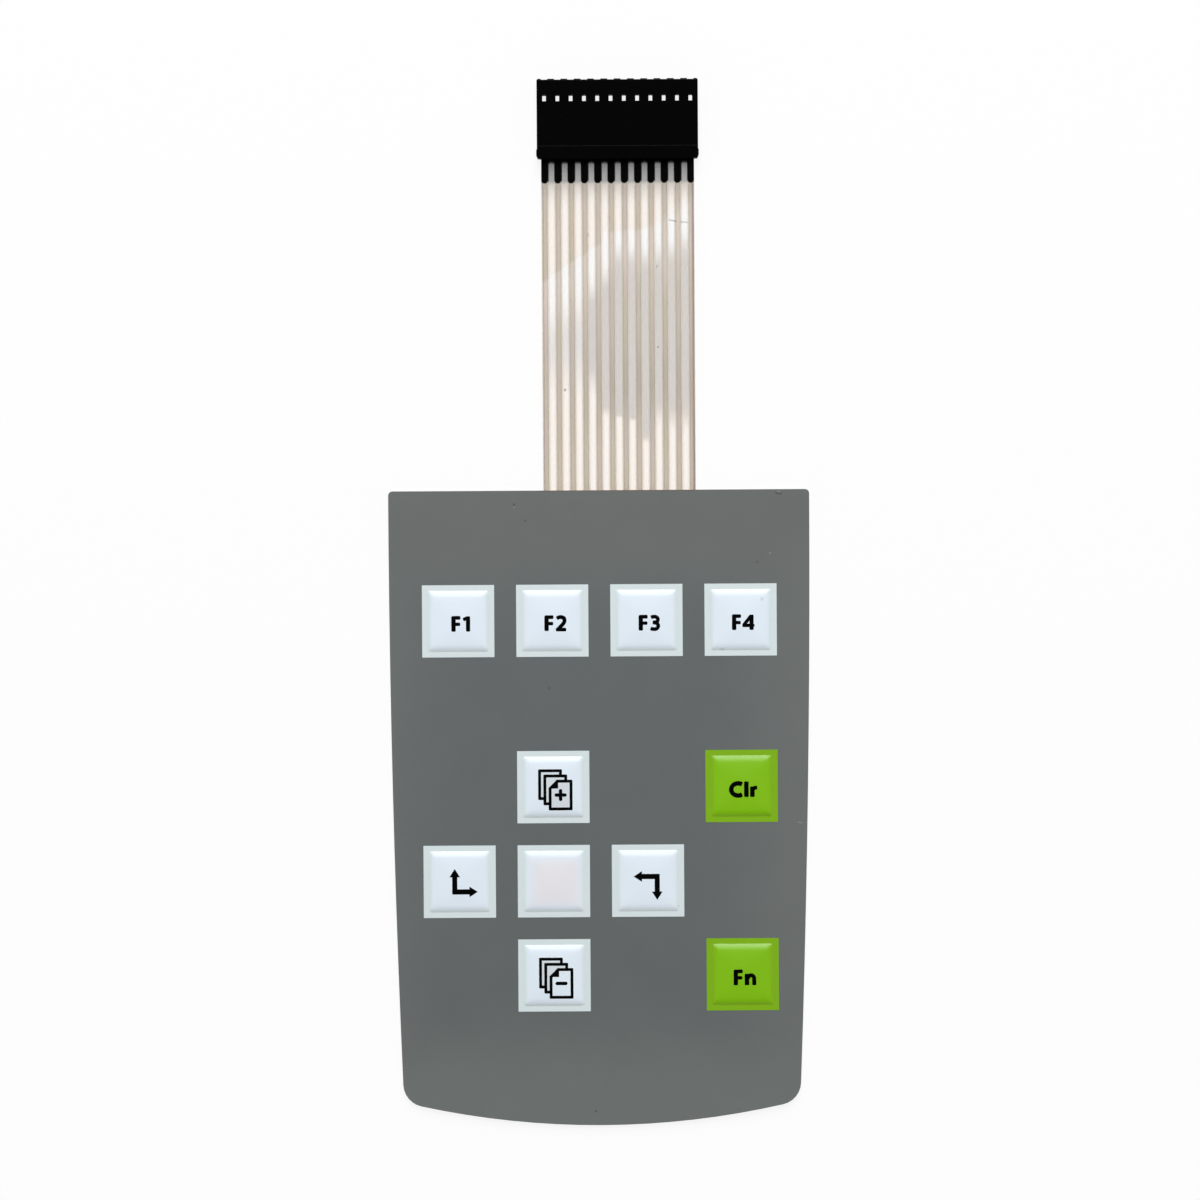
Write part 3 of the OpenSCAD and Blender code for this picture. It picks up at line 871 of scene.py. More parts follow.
LETTERS: dict[str, Letter] = {
    "F": Letter(0.57, (
        Stroke(((0.115, 0.0), (0.115, 1.0)), 0.23, 0.07),
        Stroke(((0.0, 0.905), (0.57, 0.905)), 0.19, 0.07),
        Stroke(((0.1, 0.485), (0.55, 0.485)), 0.17, 0.07))),
    "1": Letter(0.47, (
        Stroke(((0.345, 0.0), (0.345, 1.0)), 0.22, 0.07),
        Stroke(((0.02, 0.77), (0.37, 0.93)), 0.17, 0.06))),
    "2": Letter(0.68, (
        Stroke(smooth_path([(0.06, 0.81), (0.2, 0.89), (0.36, 0.905), (0.52, 0.84), (0.57, 0.7),
                            (0.53, 0.55), (0.38, 0.36), (0.14, 0.1)]), 0.2, 0.05),
        Stroke(((0.0, 0.09), (0.68, 0.09)), 0.18, 0.07))),
    "3": Letter(0.64, (
        Stroke(((0.06, 0.855), (0.16, 0.893), *arc_path((0.3, 0.715), (0.215, 0.19), 100.0, -75.0),
                (0.17, 0.53)), 0.19, 0.05),
        Stroke(((0.17, 0.525), *arc_path((0.295, 0.3), (0.24, 0.213), 75.0, -100.0), (0.14, 0.1),
                (0.03, 0.14)), 0.19, 0.05))),
    "4": Letter(0.72, (
        Stroke(((0.53, 0.0), (0.53, 1.0)), 0.22, 0.07),
        Stroke(((0.5, 0.93), (0.02, 0.32)), 0.17, 0.05),
        Stroke(((-0.07, 0.3), (0.72, 0.3)), 0.17, 0.07))),
    "C": Letter(0.84, (Stroke(arc_path((0.575, 0.5), (0.455, 0.4), 55.0, 305.0), 0.245, 0.06),)),
    "l": Letter(0.24, (Stroke(((0.12, 0.0), (0.12, 1.02)), 0.245, 0.07),)),
    "r": Letter(0.45, (
        Stroke(((0.12, 0.0), (0.12, 0.69)), 0.245, 0.07),
        Stroke(smooth_path([(0.12, 0.36), (0.17, 0.52), (0.28, 0.6), (0.44, 0.61)]), 0.2, 0.05))),
    "n": Letter(0.7, (
        Stroke(((0.12, 0.0), (0.12, 0.75)), 0.24, 0.07),
        Stroke(smooth_path([(0.16, 0.42), (0.24, 0.58), (0.38, 0.645), (0.52, 0.6), (0.59, 0.46),
                            (0.595, 0.25), (0.595, 0.0)]), 0.21, 0.06))),
}


class Legend(Enum):
    """What is printed on a key."""

    F1 = "F1"
    F2 = "F2"
    F3 = "F3"
    F4 = "F4"
    CLEAR = "Clr"
    FUNCTION = "Fn"
    PAGE_ON = "page on"
    PAGE_BACK = "page back"
    UP_RIGHT = "up and right"
    LEFT_DOWN = "left and down"
    BLANK = ""


@dataclass(frozen=True)
class LegendPrint:
    """Outlines of the printed signs about a key's middle. Lengths are in millimetres."""

    cap_height: float = 2.93
    ink_spread: float = 0.16
    letter_gap: float = 0.15
    label_middle: Point = (0.52, -0.53)
    page_middle: Point = (0.38, -0.53)
    sheet_w: float = 4.0
    sheet_h: float = 5.3
    sheet_step: float = 1.0
    sheets: int = 3
    line: float = 0.56
    line_end: float = 0.35
    fold: float = 1.4
    corner_cut: float = 0.05
    sign_length: float = 2.32
    sign_line: float = 0.66
    out_corner: Point = (-0.89, -1.95)
    out_reach: float = 4.4
    in_corner: Point = (1.8, 0.81)
    in_reach: float = 4.5
    bar: float = 0.98
    bar_corner: float = 0.08
    bar_overlap: float = 0.1
    head_w: float = 2.02
    head_l: float = 1.6
    follow_step: float = 0.7

    def ink(self, legend: Legend) -> list[Loop]:
        """Gives the outlines of a key's black print.

        Args:
            legend: What is printed.

        Returns:
            Closed outlines that may overlap.
        """
        if legend in (Legend.PAGE_ON, Legend.PAGE_BACK):
            loops = self._pages(legend is Legend.PAGE_ON)
        elif legend is Legend.UP_RIGHT:
            loops = self._corner_arrows(self.out_corner, self.out_reach, ((0, 1), (1, 0)))
        elif legend is Legend.LEFT_DOWN:
            loops = self._corner_arrows(self.in_corner, self.in_reach, ((-1, 0), (0, -1)))
        else:
            loops = self._label(legend.value)
        return [stepped(loop, self.follow_step) for loop in loops]

    def paper(self, legend: Legend) -> list[Loop]:
        """Gives the outlines of the faint tint inside the page signs.

        Args:
            legend: What is printed; only the page signs have a tint.

        Returns:
            Closed outlines; the front sheet of the sign for a page back has none.
        """
        if legend not in (Legend.PAGE_ON, Legend.PAGE_BACK):
            return []
        tinted = self.sheets if legend is Legend.PAGE_ON else self.sheets - 1
        return [stepped(self._sheet_loop(k), self.follow_step) for k in range(tinted)]

    def _label(self, text: str) -> list[Loop]:
        """Sets letters side by side about the label's middle.

        Args:
            text: The letters.

        Returns:
            The outlines of their strokes.
        """
        length = sum(LETTERS[c].width for c in text) + self.letter_gap * (len(text) - 1)
        x = self.label_middle[0] - length * self.cap_height / 2
        y = self.label_middle[1] - self.cap_height / 2
        loops: list[Loop] = []
        for character in text:
            letter = LETTERS[character]
            for stroke in letter.strokes:
                bold = replace(stroke, width=stroke.width + self.ink_spread / self.cap_height)
                outline = bold.outline()
                loops.append([(x + px * self.cap_height, y + py * self.cap_height) for px, py in outline])
            x += (letter.width + self.letter_gap) * self.cap_height
        return loops

    def _corner(self, sheet: int) -> Point:
        """Gives the top left corner of one of the sheets.

        Args:
            sheet: Number of the sheet, from 0 for the rearmost.

        Returns:
            The corner.
        """
        spread = self.sheet_step * (self.sheets - 1)
        left = self.page_middle[0] - (self.sheet_w + spread) / 2
        top = self.page_middle[1] + (self.sheet_h + spread) / 2
        return left + self.sheet_step * sheet, top - self.sheet_step * sheet

    def _sheet_loop(self, sheet: int) -> Loop:
        """Gives the outline of the part of a sheet that shows.

        Args:
            sheet: Number of the sheet, from 0 for the rearmost.

        Returns:
            The outline; the front sheet's has its corner folded in.
        """
        left, top = self._corner(sheet)
        right, low = left + self.sheet_w, top - self.sheet_h
        front = self.sheets - 1
        if sheet == front:
            folded = [(left + self.fold, top), (left, top - self.fold)]
            return [(left, low), (right, low), (right, top), *folded]
        next_left, next_top = self._corner(sheet + 1)
        cut = self.fold if sheet + 1 == front else self.corner_cut
        return [(left, low), (next_left, low), (next_left, next_top - cut), (next_left + cut, next_top),
                (right, next_top), (right, top), (left, top)]

    def _pages(self, plus: bool) -> list[Loop]:
        """Draws the overlapping sheets with a sign on the front one.

        Args:
            plus: Whether the sign is a plus rather than a minus.

        Returns:
            The outlines of the lines, the sign and the folded corner.
        """
        strokes: list[Stroke] = []
        front = self.sheets - 1
        reach = self.line / 2
        for sheet in range(front):
            left, top = self._corner(sheet)
            next_left, next_top = self._corner(sheet + 1)
            right, low = left + self.sheet_w, top - self.sheet_h
            strokes += [self._line((left, top), (right, top)), self._line((right, next_top), (right, top)),
                        self._line((left, low), (left, top)), self._line((left, low), (next_left, low))]
        left, top = self._corner(front)
        right, low = left + self.sheet_w, top - self.sheet_h
        fold_top, fold_side = (left + self.fold, top), (left, top - self.fold)
        strokes += [self._line(fold_top, (right, top)), self._line((right, low), (right, top)),
                    self._line((left, low), (right, low)), self._line((left, low), fold_side),
                    self._line(fold_side, fold_top)]
        x, y = (left + right) / 2, (top + low) / 2
        half = self.sign_length / 2
        strokes.append(Stroke(((x - half, y), (x + half, y)), self.sign_line, self.sign_line / 2))
        if plus:
            strokes.append(Stroke(((x, y - half), (x, y + half)), self.sign_line, self.sign_line / 2))
        flap_x = fold_top[0] + reach / 2
        flap = [fold_side, (flap_x, fold_side[1]), (flap_x, fold_top[1])]
        return [stroke.outline() for stroke in strokes] + [flap]

    def _line(self, start: Point, end: Point) -> Stroke:
        """Makes a thin line whose round ends reach over both its points.

        Args:
            start: First point.
            end: Last point.

        Returns:
            The line's stroke.
        """
        length = math.dist(start, end)
        reach = self.line / 2 / length
        dx, dy = (end[0] - start[0]) * reach, (end[1] - start[1]) * reach
        path = ((start[0] - dx, start[1] - dy), (end[0] + dx, end[1] + dy))
        return Stroke(path, self.line, self.line * self.line_end)

    def _corner_arrows(self, corner: Point, reach: float, ways: Sequence[Point]) -> list[Loop]:
        """Draws two arrows that leave one corner.

        Args:
            corner: Where the middles of the two bars meet.
            reach: Distance from there to an arrow's tip.
            ways: Directions of the two arrows.

        Returns:
            The outlines of the bars and heads.
        """
        loops: list[Loop] = []
        for dx, dy in ways:
            neck = reach - self.head_l
            inside = neck + self.bar_overlap
            start = (corner[0] - dx * self.bar / 2, corner[1] - dy * self.bar / 2)
            end = (corner[0] + dx * inside, corner[1] + dy * inside)
            loops.append(Stroke((start, end), self.bar, self.bar_corner).outline())
            base = (corner[0] + dx * neck, corner[1] + dy * neck)
            half = self.head_w / 2
            tip = (corner[0] + dx * reach, corner[1] + dy * reach)
            wings = [(base[0] + side * dy * half, base[1] - side * dx * half) for side in (1, -1)]
            loops.append([wings[0], tip, wings[1]])
        return loops


class KeyColour(Enum):
    """Colours of the printed keys."""

    WHITE = "white_key_fields"
    GREEN = "green_key_fields"


@dataclass(frozen=True)
class Key:
    """One key: its place in the grid, its legend, its colour and how far its print is off its place."""

    column: int
    row: int
    legend: Legend
    colour: KeyColour = KeyColour.WHITE
    print_off: Point = (0.0, 0.0)


KEYS = (
    Key(0, 0, Legend.F1),
    Key(1, 0, Legend.F2, print_off=(0.09, 0.02)),
    Key(2, 0, Legend.F3, print_off=(0.04, 0.0)),
    Key(3, 0, Legend.F4),
    Key(1, 1, Legend.PAGE_ON),
    Key(3, 1, Legend.CLEAR, KeyColour.GREEN, (-0.2, -0.13)),
    Key(0, 2, Legend.UP_RIGHT, print_off=(-0.06, 0.02)),
    Key(1, 2, Legend.BLANK),
    Key(2, 2, Legend.LEFT_DOWN, print_off=(-0.06, 0.0)),
    Key(1, 3, Legend.PAGE_BACK, print_off=(-0.04, 0.0)),
    Key(3, 3, Legend.FUNCTION, KeyColour.GREEN, (-0.12, -0.09)),
)


def eased(share: float) -> float:
    """Eases out from 0 to 1 while the share goes from 0 to 1, and stays at 1 beyond."""
    return 1 - (1 - min(share, 1.0)) ** 2


@dataclass(frozen=True)
class PadForm:
    """Embossed pad of one key: a steep flank that eases into a pillow-shaped top. Lengths in millimetres."""

    window: float = 13.8
    border: float = 1.05
    flank: float = 1.4
    rise: float = 0.45
    crown: float = 0.22
    foot: float = 0.12
    corner: float = 0.5
    pillow_lines: int = 6
    flank_lines: tuple[float, ...] = (0.0, 0.04, 0.1, 0.18, 0.3, 0.45, 0.6, 0.8, 1.0, 1.2, 1.45)
    foot_line: float = 0.1

    @property
    def half(self) -> float:
        """Half the side of the pad at its foot."""
        return self.window / 2 - self.border

    def height(self, u: float, v: float) -> float:
        """Gives the height over the face.

        Args:
            u: Distance from the key's middle along X.
            v: Distance from the key's middle along Y.

        Returns:
            The height.
        """
        a, b = self.half - abs(u), self.half - abs(v)
        near = max(self.corner - abs(a - b), 0.0) / self.corner
        inside = min(a, b) - near * near * self.corner / 4
        if inside <= 0:
            return 0.0
        flank = (self.rise - self.crown) * eased(inside / self.flank)
        return (flank + self.crown * eased(inside / self.half)) * eased(inside / self.foot)

    def lines(self) -> list[float]:
        """Gives the places of the mesh lines across a key.

        Returns:
            Distances from the key's middle, close together where the form bends.
        """
        inner = self.half - self.flank_lines[-1]
        arm = [inner * k / self.pillow_lines for k in range(self.pillow_lines)]
        arm += [self.half - d for d in reversed(self.flank_lines)]
        arm += [self.half + self.foot_line, self.half + self.border / 2, self.window / 2]
        return [-d for d in reversed(arm[1:])] + arm


@dataclass
class Overlay:
    """Grey film with embossed keys, their colour print and their legends. Lengths in millimetres."""

    face: float
    film_t: float
    print_t: float
    first_x: float
    first_y: float
    pad: PadForm
    pitch: float = 18.0
    row_gap: float = 31.8
    ink_t: float = 0.012
    tint_t: float = 0.005
    edge_round: float = 0.06
    edge_steps: int = 3
    edge_angle_deg: float = 50.0
    fill_step: float = 1.0

    @classmethod
    def from_frame(cls) -> "Overlay":
        """Reads the levels and the first key's place from the frame.

        Returns:
            The overlay.
        """
        pad = PadForm()
        film_low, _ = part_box("graphic_overlay")
        print_low, print_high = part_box(KeyColour.WHITE.value)
        face = print_low.z / MM
        return cls(
            face=face,
            film_t=face - film_low.z / MM,
            print_t=print_high.z / MM - face - pad.rise,
            first_x=print_low.x / MM + pad.window / 2,
            first_y=print_high.y / MM - pad.window / 2,
            pad=pad)

    def middle(self, key: Key) -> Point:
        """Gives the middle of a key."""
        drop = self.row_gap + (key.row - 1) * self.pitch if key.row else 0.0
        return self.first_x + key.column * self.pitch, self.first_y - drop

    def relief(self, x: float, y: float) -> float:
        """Gives the height of the embossing.

        Args:
            x: X of a place on the face.
            y: Y of the place.

        Returns:
            The height over the face.
        """
        for key in KEYS:
            mx, my = self.middle(key)
            if max(abs(x - mx), abs(y - my)) < self.pad.half:
                return self.pad.height(x - mx, y - my)
        return 0.0

    def level(self, above: float) -> Height:
        """Gives a height function that follows the embossed face at a distance."""
        return lambda x, y: self.face + above + self.relief(x, y)

    def build(self) -> None:
        """Makes and dresses the film, the key prints and the legends."""
        self._film()
        for colour, name, finish, slot in (
                (KeyColour.WHITE, "white_keys", WHITE_PRINT, "key_white"),
                (KeyColour.GREEN, "green_keys", GREEN_PRINT, "key_green")):
            self._key_prints(colour, name, finish, slot)
        self._legends()

    def _film(self) -> None:
        """Makes the grey film with its hollow pads in one sheet."""
        outline = outline_of("release_liner")
        flat: list[Point] = list(outline)
        edges = [(i, (i + 1) % len(outline)) for i in range(len(outline))]
        for key in KEYS:
            ring = self._window_ring(key)
            start = len(flat)
            flat += ring
            edges += [(start + i, start + (i + 1) % len(ring)) for i in range(len(ring))]
        points, _, triangles, _, _, _ = delaunay_2d_cdt(
            [Vector(p) for p in flat], edges, [], FILL_INSIDE, FILL_MERGE)
        sheet = [(p.x, p.y) for p in points]
        faces = [list(t) for t in triangles if not self._in_a_window(sheet, t)]
        place = {(round(x, PLACES), round(y, PLACES)): i for i, (x, y) in enumerate(sheet)}
        for key in KEYS:
            grid, quads = self._key_grid(key)
            index = []
            for x, y in grid:
                at = (round(x, PLACES), round(y, PLACES))
                if at not in place:
                    place[at] = len(sheet)
                    sheet.append((x, y))
                index.append(place[at])
            faces += [[index[i] for i in quad] for quad in quads]
        shell = Shell.empty()
        shell.add_sheet(sheet, faces, self.level(0.0), self.level(-self.film_t))
        film = shell.piece("overlay_film", OVERLAY_GREY, "overlay_grey")
        rounded = film.modifiers.new("edge", "BEVEL")
        rounded.width = self.edge_round * MM
        rounded.segments = self.edge_steps
        rounded.limit_method = "ANGLE"
        rounded.angle_limit = math.radians(self.edge_angle_deg)
        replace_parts(film, "graphic_overlay")

    def _window_ring(self, key: Key) -> Loop:
        """Gives the points on the edge of a key's square.

        Args:
            key: The key.

        Returns:
            The points, counter-clockwise.
        """
        mx, my = self.middle(key)
        lines = self.pad.lines()
        half = self.pad.window / 2
        ring = [(mx + d, my - half) for d in lines[:-1]] + [(mx + half, my + d) for d in lines[:-1]]
        return ring + [(mx - d, my + half) for d in lines[:-1]] + [(mx - half, my - d) for d in lines[:-1]]

    def _in_a_window(self, sheet: Sequence[Point], triangle: Sequence[int]) -> bool:
        """Tells whether a triangle of the flat film lies in a key's square.

        Args:
            sheet: Points of the film.
            triangle: Numbers of the triangle's points.

        Returns:
            True where it does.
        """
        x, y = (sum(sheet[i][axis] for i in triangle) / len(triangle) for axis in (0, 1))
        middles = [self.middle(key) for key in KEYS]
        return any(max(abs(x - mx), abs(y - my)) < self.pad.window / 2 for mx, my in middles)

    def _key_grid(self, key: Key) -> tuple[list[Point], list[list[int]]]:
        """Gives the mesh of a key's square.

        Args:
            key: The key.

        Returns:
            The points and the faces.
        """
        mx, my = self.middle(key)
        lines = self.pad.lines()
        count = len(lines)
        points = [(mx + u, my + v) for v in lines for u in lines]
        quads = [[r * count + c, r * count + c + 1, (r + 1) * count + c + 1, (r + 1) * count + c]
                 for r in range(count - 1) for c in range(count - 1)]
        return points, quads

    def _key_prints(self, colour: KeyColour, name: str, finish: Finish, slot: str) -> None:
        """Makes the coloured print of all keys of one colour.

        Args:
            colour: The colour, which names the CAD node that the piece replaces.
            name: Name of the piece.
            finish: Its finish.
            slot: Its material slot.
        """
        shell = Shell.empty()
        for key in KEYS:
            if key.colour is colour:
                points, quads = self._key_grid(key)
                shell.add_sheet(points, quads, self.level(self.print_t), self.level(0.0))
        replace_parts(shell.piece(name, finish, slot), colour.value)

    def _legends(self) -> None:
        """Makes the black print and the faint page tint on the keys."""
        drawing = LegendPrint()
        ink, tint = Shell.empty(), Shell.empty()
        face = self.print_t
        for key in KEYS:
            mx, my = (m + off for m, off in zip(self.middle(key), key.print_off))
            black = [[(mx + x, my + y) for x, y in loop] for loop in drawing.ink(key.legend)]
            paper = [[(mx + x, my + y) for x, y in loop] for loop in drawing.paper(key.legend)]
            if black:
                points, faces = fill(black)
                ink.add_sheet(points, faces, self.level(face + self.ink_t), self.level(face))
            if paper:
                points, faces = fill(paper, self._points_between(paper))
                tint.add_sheet(points, faces, self.level(face + self.tint_t), self.level(face))
        ink.piece("key_legends", LEGEND_BLACK, "carbon_ink")
        tint.piece("page_tints", PAGE_TINT, "key_white")

    def _points_between(self, loops: Sequence[Loop]) -> list[Point]:
        """Gives evenly spaced points, so that a fill can follow the pad.

        Args:
            loops: The outlines of the fill.

        Returns:
            The points over the outlines' whole area.
        """
        xs = [x for loop in loops for x, _ in loop]
        ys = [y for loop in loops for _, y in loop]
        columns = int((max(xs) - min(xs)) / self.fill_step)
        rows = int((max(ys) - min(ys)) / self.fill_step)
        return [(min(xs) + (c + 0.5) * self.fill_step, min(ys) + (r + 0.5) * self.fill_step)
                for r in range(rows) for c in range(columns)]


def outline_of(node: str) -> Loop:
    """Reads the outline of a flat CAD sheet.

    Args:
        node: Name of the CAD node.

    Returns:
        The corners of its lower face in millimetres, counter-clockwise.
    """
    low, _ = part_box(node)
    corners = {(round(v.co.x / MM, PLACES), round(v.co.y / MM, PLACES))
               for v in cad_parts[node].data.vertices if v.co.z - low.z < HAIR}
    return sorted(corners, key=lambda p: math.atan2(p[1], p[0]))


def lift(node: str, height: float) -> None:
    """Raises a thin layer by a hair, so that it doesn't flicker against the face that it lies on.

    Args:
        node: Name of the CAD node.
        height: How far, in millimetres.
    """
    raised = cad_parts[node].modifiers.new("raised", "DISPLACE")
    raised.direction = "Z"
    raised.mid_level = 0.0
    raised.strength = height * MM


def dress(node: str, finish: Finish) -> None:
    """Gives a CAD node its finish.

    Args:
        node: Name of the CAD node.
        finish: The finish.
    """
    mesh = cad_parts[node].data
    mesh.materials.clear()
    mesh.materials.append(finish.material())
    LOG.info("%s: %s", node, finish.name)


OVERLAY_GREY = Finish(
    "overlay grey", seen(105, 109, 108), 0.48, patch=9.0, tone_spread=0.05, grain=0.16, grain_depth=0.004,
    specular=0.4, scuff_cover=0.12, scuff_lift=0.03, patches=(
        Patch((Area(-4.0, 0.0, 33.0, 46.0, 14.0, waver=6.0, waver_size=24.0),), seen(96, 101, 101)),
        # Painted shade along the top and painted light along the bottom, evening out the lamp's fall-off
        # across the film.
        Patch((Area(0.0, 56.0, 60.0, 8.0, 8.0, waver=3.0, waver_size=20.0),), seen(101, 105, 103), 0.8),
        Patch((Area(0.0, -56.0, 60.0, 8.0, 9.0, waver=3.0, waver_size=20.0),), seen(108, 114, 111), 0.8),
        Patch((Area(3.6, 60.7, 15.2, 0.14, 0.1, waver=0.05, waver_size=3.0),), seen(104, 78, 58)),
        Patch((Line((33.95, 59.95), (34.8, 59.85), 0.2, 0.14), speck(-16.2, 58.0, 0.2),
               speck(-1.2, -58.0, 0.2), speck(-14.1, 54.9), speck(30.2, 46.8), speck(-9.7, 22.9, 0.2)),
              seen(74, 75, 73), 0.8),
        Patch((Line((34.2, 60.25), (34.6, 60.2), 0.1, 0.08), speck(32.7, 48.5),
               Line((37.8, -3.0), (38.4, -3.1), 0.1), speck(-16.15, 57.5, 0.12)), seen(150, 150, 146), 0.6)))
WHITE_PRINT = KeyFinish(
    "key white", seen(218, 229, 231), 0.39, patch=7.0, tone_spread=0.012, grain=0.2, grain_depth=0.0015,
    # The pad's lighter colour is painted light.
    scuff_lift=0.01, painted_pad_light=seen(229, 240, 250), patches=(
        Patch((Area(-8.7, -14.2, 4.3, 4.1, 1.6, waver=0.5, waver_size=2.5),), seen(236, 231, 235), 0.8),
        Patch((speck(31.1, 39.7, 0.3), Line((23.2, 30.2), (23.7, 30.1), 0.2, 0.15), speck(14.8, -18.9, 0.2)),
              seen(176, 182, 194), 0.4)))
GREEN_PRINT = KeyFinish(
    "key green", seen(126, 178, 8), 0.39, patch=7.0, tone_spread=0.02, grain=0.2, grain_depth=0.0015,
    # The pad's lighter colour is painted light.
    scuff_lift=0.01, painted_pad_light=seen(129, 191, 5))
LEGEND_BLACK = Finish(
    "legend black", seen(3, 3, 3), 0.36, patch=2.0, tone_spread=0.15, grain=0.1, specular=0.05,
    scuff_lift=0.002)
PAGE_TINT = Finish(
    "page tint", seen(215, 223, 229), 0.36, patch=3.0, tone_spread=0.015, grain=0.2, grain_depth=0.0015,
    scuff_lift=0.01)
LINER_PAPER = Finish(
    "liner paper", seen(226, 214, 186), 0.42, patch=6.0, tone_spread=0.05, grain=0.3, grain_depth=0.006)
ADHESIVE = Finish(
    "adhesive", seen(206, 207, 202), 0.3, patch=3.0, tone_spread=0.04, grain=0.4, grain_depth=0.004)
SPACER_FILM = Finish("spacer film", seen(222, 223, 221), 0.35, patch=5.0, grain=0.25)
INNER_FILM = Finish("inner film", seen(238, 237, 232), 0.2, patch=8.0, grain=0.3)
SHORTING_INK = Finish(
    "shorting ink", seen(24, 23, 22), 0.6, patch=2.0, tone_spread=0.1, grain=0.06, specular=0.2)
CARBON_INK = Finish(
    "carbon ink", seen(3, 3, 3), 0.4, patch=1.5, tone_spread=0.15, grain=0.06, specular=0.03,
    scuff_lift=0.002)
BLACK_NYLON = Finish(
    "black nylon", seen(3, 3, 3), 0.28, patch=4.0, tone_spread=0.2, grain=0.09, grain_depth=0.002,
    roughness_spread=0.06, specular=0.05, scuff_width=0.03, scuff_cover=0.2, scuff_lift=0.004)
TIN_PLATE = Finish(
    "tin plate", seen(214, 214, 210), 0.26, patch=1.0, tone_spread=0.06, grain=0.05, grain_depth=0.001,
    metallic=1.0)


@dataclass(frozen=True)
class Laminate:
    """Films, adhesives and inks under the overlay, seen at the panel's edge and from behind."""

    finishes: tuple[tuple[str, Finish], ...] = (
        ("release_liner", LINER_PAPER), ("rear_adhesive", ADHESIVE), ("circuit_spacer", SPACER_FILM),
        ("shorting_pads", SHORTING_INK), ("upper_membrane", INNER_FILM), ("overlay_adhesive", ADHESIVE))

    def dress(self) -> None:
        """Gives each layer its finish."""
        for node, finish in self.finishes:
            dress(node, finish)


@dataclass(frozen=True)
class Cling:
    """A strip between two printed lines where the cover film clings to the film under it."""

    gap: int
    top: float
    bottom: float
    soft: float


@dataclass(frozen=True)
class Bleed:
    """How far the black coating spreads beside its lines, and how far from the socket it does so."""

    near: float
    far: float
    reach: float
    soft: float


